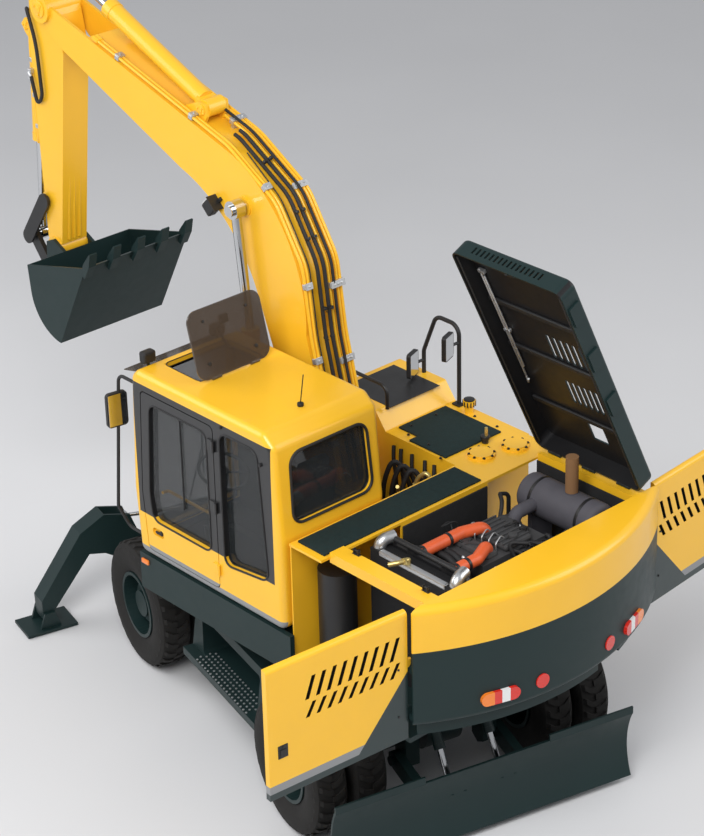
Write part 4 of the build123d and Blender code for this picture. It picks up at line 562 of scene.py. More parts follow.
class PaintShop:
    """All finishes, and the CAD nodes that take them."""

    def __init__(self, place: Place) -> None:
        """Build the finishes.

        Args:
            place: Frames of the assemblies.
        """
        self.yellow = Finish("yellow_paint_gloss", Colour.YELLOW, **GLOSS).build()
        self.green = Finish("dark_green_paint_satin", Colour.GREEN, **SATIN).build()
        self.black = Finish("black_paint_satin", Colour.BLACK, 0.45, mottle=0.15, bump=0.06).build()
        self.mix_metals()
        self.mix_soft_finishes()
        self.mix_lenses(place.machine.translation)
        self.mix_cab_paints(place.machine.translation)
        self.hood = self.hood_paint(place)
        self.side_doors = {name: self.side_door_paint(name, hand, place) for name, hand in HANDS}

    def mix_metals(self) -> None:
        """Make the bare, plated and cast metals, and the silencer's heat paint with its rusty pipe."""
        self.cast = Finish("cast_iron_dark", Colour.CAST, 0.62, metallic=0.3, mottle=0.25, mottle_scale=14.0,
                           bump=0.35, bump_scale=120.0).build()
        self.silver = Finish("cooler_aluminium", Colour.SILVER, 0.34, metallic=0.9, mottle=0.08,
                             mottle_scale=20.0, bump=0.15).build()
        self.core = Finish("cooler_core_dark", Colour.BLACK, 0.6, metallic=0.4, mottle=0.2, mottle_scale=30.0,
                           bump=0.5, bump_scale=500.0).build()
        self.chrome = Finish("rod_chrome", Colour.SILVER, 0.10, metallic=1.0, mottle=0.03, rough_spread=0.03,
                             bump=0.01).build()
        self.zinc = Finish("bolt_zinc", Colour.SILVER, 0.42, metallic=0.8, mottle=0.15,
                           mottle_scale=40.0).build()
        self.mirror = Finish("mirror_silvered", Colour.SILVER, 0.04, metallic=1.0, mottle=0.01,
                             rough_spread=0.01, bump=0.0).build()
        self.brass = Finish("valve_brass", Colour.BRASS, 0.35, metallic=0.8, mottle=0.15, mottle_scale=30.0,
                            bump=0.1).build()
        pipe = Band(Colour.RUST, (above(2, 2.235),))
        self.heat = BandedFinish("silencer_heat_paint", Colour.HEAT, 0.75, mottle=0.2, mottle_scale=10.0,
                                 bump=0.3, bump_scale=160.0, bands=(pipe,)).build()

    def mix_soft_finishes(self) -> None:
        """Make the plastics, rubbers, cloth, foam and the gritty mats."""
        self.plastic = Finish("black_plastic_grained", Colour.BLACK, 0.55, mottle=0.12, bump=0.25,
                              bump_scale=700.0).build()
        self.tyre = Finish("tyre_rubber_dusty", Colour.TYRE, 0.85, specular=0.35, mottle=0.35,
                           mottle_scale=9.0,
                           bump=0.3, bump_scale=180.0).build()
        self.hose = Finish("hose_rubber_woven", Colour.BLACK, 0.65, mottle=0.2, bump=0.4,
                           bump_scale=900.0).build()
        self.charge = Finish("charge_hose_orange", Colour.ORANGE_HOSE, 0.45, mottle=0.12, mottle_scale=12.0,
                             bump=0.2, bump_scale=300.0).build()
        self.mat = Finish("deck_mat_gritty", Colour.GREEN, 0.85, specular=0.28, mottle=0.35,
                          mottle_scale=30.0,
                          bump=0.8, bump_scale=420.0).build()
        self.fabric = Finish("seat_cloth", Colour.FABRIC, 0.9, mottle=0.25, mottle_scale=60.0, bump=0.6,
                             bump_scale=900.0).build()
        self.foam = Finish("foam_lining_black", Colour.BLACK, 0.9, mottle=0.3, mottle_scale=20.0, bump=0.6,
                           bump_scale=300.0).build()

    def mix_lenses(self, slew: Vector) -> None:
        """Make the lamp lenses and the glazing.

        Args:
            slew: Place of the slew centre.
        """
        self.amber = Finish("lens_amber", Colour.AMBER, **LENS).build()
        self.clear = Finish("lens_clear", Colour.WHITE, 0.15, mottle=0.1, mottle_scale=60.0, coat=0.6).build()
        self.glass = Finish("cab_glass_tinted", Colour.GLASS, 0.04, mottle=0.05, rough_spread=0.02, bump=0.0,
                            alpha=0.50).build()
        self.smoke = Finish("hatch_smoked", Colour.SMOKE, 0.10, mottle=0.08, rough_spread=0.03, bump=0.01,
                            coat=0.3, alpha=0.80).build()
        self.lamps = BandedFinish("tail_lamp_lenses", Colour.RED, **LENS, bands=(
            Band(Colour.AMBER, (above(1, slew.y + 0.735),)),
            Band(Colour.AMBER, (below(1, slew.y - 0.735),)),
            Band(Colour.WHITE, (above(1, slew.y + 0.620), below(1, slew.y + 0.680))),
            Band(Colour.WHITE, (below(1, slew.y - 0.620), above(1, slew.y - 0.680))),
        )).build()

    def mix_cab_paints(self, slew: Vector) -> None:
        """Make the paints of the cab and its door: black pillars and inner side, grey foot line.

        Args:
            slew: Place of the slew centre.
        """
        outer = above(1, slew.y + 1.20)
        upper = above(2, 1.86)
        pillar = Band(Colour.BLACK, (
            outer, upper, above(0, slew.x - 0.405), below(0, slew.x + 1.13), below(2, 2.95),
        ))
        sill = Band(Colour.GREY, (below(2, 1.575), outer))
        inside = Band(Colour.BLACK, (
            above(1, slew.y + 0.272), below(1, slew.y + 1.208), above(0, slew.x - 0.455),
            below(0, slew.x + 1.12),
            above(2, 1.53), below(2, 3.005), ((-1.0, 0.0, 0.0857), 0.652 - slew.x),
            ((-0.633, 0.0, 0.774), 2.510 - 0.633 * slew.x), ((0.707, 0.0, 0.707), 2.875 + 0.707 * slew.x),
        ))
        self.cab = BandedFinish("cab_paint", Colour.YELLOW, **GLOSS, bands=(pillar, sill, inside)).build()
        bands = (Band(Colour.BLACK, (upper,)), Band(Colour.GREY, (below(2, 1.60),)))
        self.door = BandedFinish("cab_door_paint", Colour.YELLOW, **GLOSS, bands=bands).build()

    @staticmethod
    def hood_paint(place: Place) -> bpy.types.Material:
        """Dark green paint with a black lining under the hood.

        Args:
            place: Frames of the assemblies.

        Returns:
            The hood's paint.
        """
        up = place.hood.to_3x3() @ Vector((0.0, 0.0, 1.0))
        out = place.hood.to_3x3() @ Vector((0.0, 1.0, 0.0))
        hinge, slew = place.hood.translation, place.machine.translation
        lined = Band(Colour.BLACK, (
            (tuple(up), up.dot(hinge) + 0.1405), (tuple(-out), -out.dot(hinge) - 0.0105),
            (tuple(out), out.dot(hinge) + 2.0645), below(0, slew.x - 0.8005), above(0, slew.x - 1.8195),
        ))
        return BandedFinish("hood_paint", Colour.GREEN, **SATIN, bands=(lined,)).build()

    @staticmethod
    def side_door_paint(name: str, hand: float, place: Place) -> bpy.types.Material:
        """Yellow paint with a grey line, a dark foot, a dark slanted corner and black louvres.

        Args:
            name: Side.
            hand: 1 on the left, -1 on the right.
            place: Frames of the assemblies.

        Returns:
            The side door's paint.
        """
        leaf = place.leaves[name]
        along, across, hinge = leaf.col[0].to_3d(), leaf.col[1].to_3d() * hand, leaf.translation
        slope = Vector((0.0, hand * 0.72, 0.62)).normalized()
        edge = Vector((0.0, place.machine.translation.y + hand * 1.2175 + hand * 0.50, 1.235))
        return BandedFinish(f"side_door_paint_{name}", Colour.YELLOW, **GLOSS, bands=(
            Band(Colour.GREY, (below(2, 1.345),)),
            Band(Colour.GREEN, (below(2, 1.285),)),
            Band(Colour.GREEN, ((tuple(slope), slope.dot(edge)),)),
            Band(Colour.BLACK, (
                (tuple(along), along.dot(hinge) + 0.965), (tuple(-along), -along.dot(hinge) - 0.085),
                (tuple(across), across.dot(hinge) + 0.0205), above(2, 1.750), below(2, 2.090),
            )),
        )).build()

    def dress(self, nodes: Iterable[str]) -> None:
        """Give each CAD node its finish.

        Args:
            nodes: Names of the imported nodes.
        """
        table = {
            "slew_ring": self.cast, "cab_shell": self.cab, "cab_door": self.door, "cab_glass": self.glass,
            "cab_door_glass": self.glass, "roof_hatch": self.smoke, "operator_seat": self.fabric,
            "engine": self.cast,
            "silencer": self.heat, "cooler_stack": self.core, "charge_hoses": self.charge,
            "air_cleaner": self.black,
            "tail_lamps": self.lamps, "mirrors": self.plastic, "deck_mats": self.mat, "hood": self.hood,
            "side_door_left": self.side_doors["left"], "side_door_right": self.side_doors["right"],
            "bucket_link": self.black, "bucket_rocker": self.black, "side_skirts": self.green,
        }
        dark = ("counterweight", "chassis", "axles", "knuckle", "step_boxes", "dozer_blade", "bucket",
                "upper_frame",
                "outrigger_leg", "outrigger_pad", "rim")
        for name in nodes:
            node = bpy.data.objects[name]
            if name in table:
                finish = table[name]
            elif "rod" in name:
                finish = self.chrome
            elif name.startswith("tyres"):
                finish = self.tyre
            elif name == "bucket" or name.startswith(dark) and not name.startswith("bucket_"):
                finish = self.green
            elif name.startswith(("blade_cylinder", "outrigger_tube")):
                finish = self.green
            else:
                finish = self.yellow
            node.data.materials.clear()
            node.data.materials.append(finish)


@dataclass
class RoadTyres:
    """Twin road tyres with lugged tread and round sidewalls, in the carriage's frame."""

    radius: float = 527.0
    width: float = 278.0
    bead_radius: float = 266.0
    groove: float = 16.0
    lugs: int = 30
    axles: dict[str, float] = field(default_factory=lambda: {"front": 1600.0, "rear": -1000.0})
    middles: tuple[float, float] = (1111.0, 789.0)

    def carcass(self, name: str) -> bpy.types.Object:
        """Spin the tyre's section about the cross axis.

        Args:
            name: Piece name.

        Returns:
            The carcass at the origin.
        """
        half = self.width / 2
        ground = self.radius - self.groove
        section = [
            (-half * 0.70, self.bead_radius), (-half * 0.80, self.bead_radius + 18),
            (-half * 0.98, self.bead_radius + 100),
            (-half * 0.99, self.bead_radius + 150), (-half * 0.92, ground - 28), (-half * 0.80, ground - 6),
            (-half * 0.40, ground), (0.0, ground + 2), (half * 0.40, ground), (half * 0.80, ground - 6),
            (half * 0.92, ground - 28), (half * 0.99, self.bead_radius + 150),
            (half * 0.98, self.bead_radius + 100),
            (half * 0.80, self.bead_radius + 18), (half * 0.70, self.bead_radius),
        ]
        Bench.clear()
        bpy.ops.mesh.primitive_circle_add(vertices=len(section), radius=0.1)
        piece = Bench.named(name)
        bpy.ops.object.mode_set(mode="EDIT")
        mesh = bmesh.from_edit_mesh(piece.data)
        mesh.verts.ensure_lookup_table()
        for vert, (y, r) in zip(mesh.verts, section):
            vert.co = Vector((r * MM, y * MM, 0.0))
        bmesh.update_edit_mesh(piece.data)
        bpy.ops.mesh.select_all(action="SELECT")
        bpy.ops.mesh.spin(steps=64, angle=math.tau, center=(0.0, 0.0, 0.0), axis=(0.0, 1.0, 0.0))
        bpy.ops.mesh.select_all(action="SELECT")
        bpy.ops.mesh.remove_doubles(threshold=0.0001)
        bpy.ops.mesh.normals_make_consistent(inside=False)
        bpy.ops.object.mode_set(mode="OBJECT")
        bpy.ops.object.shade_smooth_by_angle(angle=math.radians(40))
        return piece

    def lug(self, name: str, hand: float) -> bpy.types.Object:
        """One slanted tread lug that wraps over the shoulder.

        Args:
            name: Piece name.
            hand: Side of the tread.

        Returns:
            The lug at the top of the tyre.
        """
        half = self.width / 2
        low, high = (-22, 0, self.radius - self.groove - 12), (22, half - 4, self.radius - 1)
        piece = Bench.block(name, low, high, 0)
        bpy.ops.object.mode_set(mode="EDIT")
        bpy.ops.mesh.select_all(action="SELECT")
        bpy.ops.mesh.subdivide(number_cuts=2)
        bpy.ops.object.mode_set(mode="OBJECT")
        for vert in piece.data.vertices:
            share = vert.co.y / (half * MM)
            vert.co.x += 0.052 * share - 0.010 * math.sin(share * 6.0)
            if share > 0.72:
                fall = 1.0 if vert.co.z > (self.radius - 10) * MM else 1.5
                vert.co.z -= 0.055 * (share - 0.72) / 0.28 * fall
            vert.co.z = vert.co.z - vert.co.x ** 2 / (2 * self.radius * MM)
            vert.co.y = vert.co.y * hand - 0.004 * hand
        bpy.ops.object.mode_set(mode="EDIT")
        bpy.ops.mesh.select_all(action="SELECT")
        bpy.ops.mesh.normals_make_consistent(inside=False)
        bpy.ops.object.mode_set(mode="OBJECT")
        return piece

    def build(self, place: Place, shop: PaintShop) -> None:
        """Make the tyres of all four corners.

        Args:
            place: Frames of the assemblies.
            shop: Finishes.
        """
        carcass = self.carcass("tyre_carcass")
        step = math.tau / self.lugs
        left = Bench.scatter(self.lug("lugs_left", 1.0),
                             [Matrix.Rotation(step * i, 4, "Y") for i in range(self.lugs)])
        right = Bench.scatter(self.lug("lugs_right", -1.0),
                              [Matrix.Rotation(step * (i + 0.5), 4, "Y") for i in range(self.lugs)])
        model = Bench.joined("road_tyre", [carcass, left, right])
        for axle, x in self.axles.items():
            for side, hand in HANDS:
                twins = []
                for middle in self.middles:
                    copy = model.copy()
                    copy.data = model.data.copy()
                    copy.data.transform(Matrix.Translation((x * MM, middle * hand * MM, self.radius * MM)))
                    bpy.context.collection.objects.link(copy)
                    twins.append(copy)
                pair = Bench.joined(f"road_tyres_{axle}_{side}", twins)
                Bench.settle(pair, place.carriage, f"wheels_{axle}_{side}", shop.tyre, "rubber_tyre")
                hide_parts(f"tyres_{axle}_{side}")
        bpy.data.objects.remove(model)


@dataclass
class WheelTrim:
    """Nuts on the wheel discs."""

    disc: float = 950.0
    ring: float = 205.0
    nuts: int = 10

    def build(self, place: Place, shop: PaintShop) -> None:
        """Set the wheel nuts.

        Args:
            place: Frames of the assemblies.
            shop: Finishes.
        """
        for axle, x in (("front", 1600.0), ("rear", -1000.0)):
            for side, hand in HANDS:
                turn = Matrix.Rotation(-hand * math.pi / 2, 4, "X")
                spots = []
                for index in range(self.nuts):
                    angle = math.tau * index / self.nuts
                    spot = Vector((x + self.ring * math.cos(angle), (self.disc + 12.5) * hand,
                                   527.0 + self.ring * math.sin(angle)))
                    spots.append(Matrix.Translation(spot * MM) @ turn)
                nuts = Bench.scatter(Bench.bolt(f"wheel_nuts_{axle}_{side}", 15.0, 16.0), spots)
                Bench.settle(nuts, place.carriage, f"wheels_{axle}_{side}", shop.zinc, "dark_green_paint")


class BoomBack:
    """The boom's back from its side: a straight run, an arc over the elbow and a second straight run."""

    foot = Vector((-60.0, 115.0))
    knee = Vector((1150.0, 850.0))
    crown = Vector((1880.0, 1255.0))
    shoulder = Vector((2560.0, 1170.0))
    tip = Vector((4540.0, 100.0))

    def __init__(self) -> None:
        """Find the elbow's arc."""
        a, b, c = self.knee, self.crown, self.shoulder
        twice = 2.0 * (a.x * (b.y - c.y) + b.x * (c.y - a.y) + c.x * (a.y - b.y))
        squares = (a.length_squared, b.length_squared, c.length_squared)
        self.middle = Vector((
            (squares[0] * (b.y - c.y) + squares[1] * (c.y - a.y) + squares[2] * (a.y - b.y)) / twice,
            (squares[0] * (c.x - b.x) + squares[1] * (a.x - c.x) + squares[2] * (b.x - a.x)) / twice,
        ))
        self.radius = (a - self.middle).length
        self.turns = [math.atan2(p.y - self.middle.y, p.x - self.middle.x) for p in (a, c)]

    def at(self, station: float) -> tuple[Vector, Vector]:
        """Point and direction on the back.

        Args:
            station: 0 to 1 on the first run, to 2 on the arc, to 3 on the last run.

        Returns:
            The point and the unit direction towards the tip.
        """
        if station <= 1.0:
            return self.foot.lerp(self.knee, station), (self.knee - self.foot).normalized()
        if station <= 2.0:
            turn = self.turns[0] + (self.turns[1] - self.turns[0]) * (station - 1.0)
            out = Vector((math.cos(turn), math.sin(turn)))
            return self.middle + out * self.radius, Vector((out.y, -out.x))
        return self.shoulder.lerp(self.tip, station - 2.0), (self.tip - self.shoulder).normalized()

    def lifted(self, station: float, rise: float, y: float) -> Point:
        """Point above the back.

        Args:
            station: Place along the back.
            rise: Height above the back in millimetres.
            y: Place to the left of the boom's middle in millimetres.

        Returns:
            The point in the boom's frame.
        """
        point, along = self.at(station)
        return (point.x - along.y * rise, y, point.y + along.x * rise)

    def stand(self, station: float) -> Matrix:
        """Frame on the back: X towards the tip, Z away from the boom, in metres."""
        point, along = self.at(station)
        turn = Matrix(((along.x, 0.0, -along.y), (0.0, 1.0, 0.0), (along.y, 0.0, along.x))).to_4x4()
        return Matrix.Translation((point.x * MM, 0.0, point.y * MM)) @ turn


@dataclass
class BoomLines:
    """Steel oil pipes, black hoses and their clamps on the boom's back, with the work lamp."""

    pipe_radius: float = 13.0
    bolt_pitch: float = 36.0
    left_pipes: tuple[float, ...] = (156.0, 124.0)
    right_pipes: tuple[float, ...] = (-56.0, -92.0, -128.0, -160.0)
    hoses: tuple[float, ...] = (36.0, -10.0)
    left_rise: float = 34.0
    right_rise: float = 62.0
    left_end: float = 2.74
    right_end: float = 2.70
    short_end: float = 2.16
    tie_stations: tuple[float, ...] = (0.28, 0.52, 0.68, 0.96, 1.12, 1.45, 1.58, 1.86)
    left_clamps: tuple[float, ...] = (0.40, 0.86, 1.25, 1.75, 2.22, 2.62)
    right_clamps: tuple[float, ...] = (0.36, 0.82, 1.22, 1.70, 2.12, 2.55)

    def run(self, back: BoomBack, name: str, y: float, rise: float, last: float,
            radius: float) -> bpy.types.Object:
        """One pipe that follows the back in straight runs.

        Args:
            back: The boom's back.
            name: Piece name.
            y: Place to the left in millimetres.
            rise: Height above the back in millimetres.
            last: Station where it ends.
            radius: Radius in millimetres.

        Returns:
            The pipe.
        """
        stations = [s for s in (0.16, 0.97, 1.34, 1.67, 2.03) if s < last] + [last]
        points = [back.lifted(s, rise + (14.0 if 1.0 < s < 2.0 else 0.0), y) for s in stations]
        return Bench.pipe(name, points, radius, 70.0)

    def clamp(self, name: str, low: float, high: float, rise: float) -> bpy.types.Object:
        """Clamp across a group of pipes: a foot, a split body, a plate and its bolts.

        Args:
            name: Piece name.
            low: Right end in millimetres.
            high: Left end in millimetres.
            rise: Height of the pipes above the back in millimetres.

        Returns:
            The clamp, standing on the XY plane.
        """
        pieces = [
            Bench.block(name + "_cheek", (-23, low - 20, rise - 20), (23, high + 20, rise + 20), 6),
            Bench.block(name + "_plate", (-26, low - 16, rise + 19), (26, high + 16, rise + 25), 1.5),
            Bench.block(name + "_foot", (-14, low + 2, -2), (14, high - 2, rise - 18), 3),
        ]
        bolts = max(round((high - low) / self.bolt_pitch), 1)
        step = (high - low) / bolts
        for index in range(bolts):
            bolt = Bench.bolt(name + "_bolt", 8, 9)
            spot = (0.0, (low + step * (index + 0.5)) * MM, (rise + 24) * MM)
            bolt.data.transform(Matrix.Translation(spot))
            pieces.append(bolt)
        return Bench.joined(name, pieces)

    def lamp(self, place: Place, shop: PaintShop) -> None:
        """Work lamp on the boom's left side.

        Args:
            place: Frames of the assemblies.
            shop: Finishes.
        """
        body = [
            Bench.block("boom_lamp_shell", (2330, 176, 640), (2440, 256, 750), 14),
            Bench.block("boom_lamp_bracket", (2370, 168, 700), (2400, 190, 800), 4),
            Bench.block("boom_lamp_guard", (2320, 168, 752), (2450, 262, 758), 2),
        ]
        Bench.fit("boom_work_lamp", body, place.boom, "boom", shop.plastic, "black_plastic")
        lens = Bench.block("boom_lamp_lens", (2440, 184, 650), (2446, 248, 742), 2)
        Bench.settle(lens, place.boom, "boom", shop.clear, "bare_aluminium")

    def build(self, place: Place, shop: PaintShop) -> None:
        """Make the pipes, hoses, clamps and ties.

        Args:
            place: Frames of the assemblies.
            shop: Finishes.
        """
        back = BoomBack()
        pipes = []
        for y in self.left_pipes:
            pipes.append(self.run(back, "oil_pipe", y, self.left_rise, self.left_end, self.pipe_radius))
        for index, y in enumerate(self.right_pipes):
            last = self.right_end if index > 1 else self.short_end
            pipes.append(self.run(back, "oil_pipe", y, self.right_rise, last, self.pipe_radius))
        unions = [(y, self.left_rise, self.left_end) for y in self.left_pipes]
        unions += [(y, self.right_rise, self.right_end) for y in self.right_pipes[2:]]
        for y, rise, last in unions:
            end, ahead = back.lifted(last - 0.01, rise, y), back.lifted(last + 0.02, rise, y)
            pipes.append(Bench.rod("pipe_union", end, ahead, self.pipe_radius * 1.6, 6))
        Bench.fit("boom_oil_pipes", pipes, place.boom, "boom", shop.yellow, "yellow_paint")
        hoses = []
        for n, y in enumerate(self.hoses):
            hoses.append(self.run(back, "boom_hose", y, self.right_rise - 6 + 22 * (n % 2), 2.06, 15.0))
        hoses.append(self.run(back, "boom_hose", -74.0, self.right_rise + 30, 2.30, 12.0))
        hoses.append(self.run(back, "boom_wire", 98.0, self.left_rise + 8, 1.95, 5.0))
        Bench.fit("boom_hoses", hoses, place.boom, "boom", shop.hose, "black_plastic")
        clamps = []
        for station in self.left_clamps:
            piece = self.clamp("clamp_left", self.left_pipes[1], self.left_pipes[0], self.left_rise)
            piece.data.transform(back.stand(station))
            clamps.append(piece)
        for station in self.right_clamps:
            low = self.right_pipes[3]
            high = self.right_pipes[0] if station < 2.2 else self.right_pipes[2]
            piece = self.clamp("clamp_right", low, high, self.right_rise)
            piece.data.transform(back.stand(station))
            clamps.append(piece)
        Bench.fit("boom_pipe_clamps", clamps, place.boom, "boom", shop.zinc, "bare_aluminium")
        ties = []
        for station in self.tie_stations:
            for n, y in enumerate(self.hoses):
                rise = self.right_rise - 6 + 22 * (n % 2) + (10.0 if 1.0 < station < 2.0 else 0.0)
                start, end = back.lifted(station, rise, y), back.lifted(station + 0.012, rise, y)
                ties.append(Bench.rod("tie", start, end, 18.5, 16))
            start = back.lifted(station, self.right_rise, 30.0)
            end = back.lifted(station, self.right_rise + 58.0, 62.0)
            ties.append(Bench.rod("tie_tail", start, end, 3.0, 6, 0.5))
        Bench.fit("boom_hose_ties", ties, place.boom, "boom", shop.plastic, "black_plastic")
        self.lamp(place, shop)


@dataclass
class ArmLines:
    """Pipes, hose loops and pads on the arm and its cylinders."""

    front_y: float = 108.0
    loop_y: float = 152.0

    def build(self, place: Place, shop: PaintShop) -> None:
        """Make the arm's pipes and hoses.

        Args:
            place: Frames of the assemblies.
            shop: Finishes.
        """
        pipes = []
        for hand in (1, -1):
            y = self.front_y * hand
            course = [(150, y, 258), (430, y, 260), (1180, y, 194), (1240, y * 0.85, 224)]
            pipes.append(Bench.pipe("arm_pipe", course, 12, 40))
            pipes.append(Bench.rod("arm_union", (118, y, 257), (156, y, 258), 19, 6))
        for y in (-52, 0, 52):
            pipes.append(Bench.pipe("arm_rib", [(1380, y, -120), (1700, y, -106), (2010, y, -94)], 15, 40))
        Bench.fit("arm_oil_pipes", pipes, place.arm, "arm", shop.yellow, "yellow_paint")
        out = self.loop_y
        left = [(120, self.front_y, 262), (60, 150, 235), (330, out, 120), (780, out, 60), (860, out, 130),
                (640, out, 205)]
        right = [(118, -self.front_y, 262), (70, -150, 235), (330, -out, 110), (640, -out, 60),
                 (700, -out, 130), (520, -out, 210)]
        loops = [Bench.pipe("arm_hose", points, 15, 90, 4) for points in (left, right)]
        Bench.fit("arm_hose_loops", loops, place.arm, "arm", shop.hose, "black_plastic")
        fittings = []
        for y, x, inward, outward in ((out, 640, -28, 10), (-out, 520, -10, 28)):
            fittings.append(Bench.rod("arm_fitting", (x + 24, y, 207), (x - 34, y, 232), 18, 6))
            low, high = (x - 60, y + inward, 196), (x - 20, y + outward, 236)
            fittings.append(Bench.block("arm_fitting_foot", low, high, 5))
        for x in (520, 820, 1080):
            z = 235 - (x - 420) * 0.0883
            for hand in (1, -1):
                low, high = (x - 18, 88 * hand, z - 2), (x + 18, 124 * hand, z + 40)
                fittings.append(Bench.block("arm_clamp", low, high, 4))
        Bench.fit("arm_fittings", fittings, place.arm, "arm", shop.zinc, "bare_aluminium")


@dataclass
class PinCaps:
    """Bolted caps at the ends of the big pins: x, z, y and radius of each in millimetres."""

    bolts: int = 3
    boom_spots: tuple[tuple[float, ...], ...] = ((4600.0, 0.0, 196.0, 70.0), (3010.0, 1045.0, 108.0, 44.0))
    arm_spots: tuple[tuple[float, ...], ...] = (
        (1700.0, 90.0, 125.0, 40.0), (-460.0, 190.0, 108.0, 40.0), (260.0, 330.0, 88.0, 34.0),
    )

    def cap(self, name: str, radius: float) -> bpy.types.Object:
        """Cap with its bolts, standing on the XY plane.

        Args:
            name: Piece name.
            radius: Radius in millimetres.

        Returns:
            The cap.
        """
        pieces = [
            Bench.rod(name, (0, 0, -2), (0, 0, 10), radius, 28, 2.5),
            Bench.rod(name, (0, 0, 8), (0, 0, 16), radius * 0.42, 20, 2),
        ]
        for index in range(self.bolts):
            turn = math.tau * index / self.bolts + 0.4
            bolt = Bench.bolt(name, 8, 9)
            reach = radius * 0.68
            spot = (reach * math.cos(turn) * MM, reach * math.sin(turn) * MM, 0.010)
            bolt.data.transform(Matrix.Translation(spot))
            pieces.append(bolt)
        return Bench.joined(name, pieces)

    def build(self, place: Place, shop: PaintShop) -> None:
        """Set the caps on the boom and the arm.

        Args:
            place: Frames of the assemblies.
            shop: Finishes.
        """
        for name, frame, body, spots in (
            ("boom_pin_caps", place.boom, "boom", self.boom_spots),
            ("arm_pin_caps", place.arm, "arm", self.arm_spots),
        ):
            caps = []
            for x, z, y, radius in spots:
                for hand in (1.0, -1.0):
                    cap = self.cap("pin_cap", radius)
                    outward = Matrix.Rotation(-hand * math.pi / 2, 4, "X")
                    cap.data.transform(Matrix.Translation((x * MM, y * hand * MM, z * MM)) @ outward)
                    caps.append(cap)
            Bench.fit(name, caps, frame, body, shop.yellow, "yellow_paint")


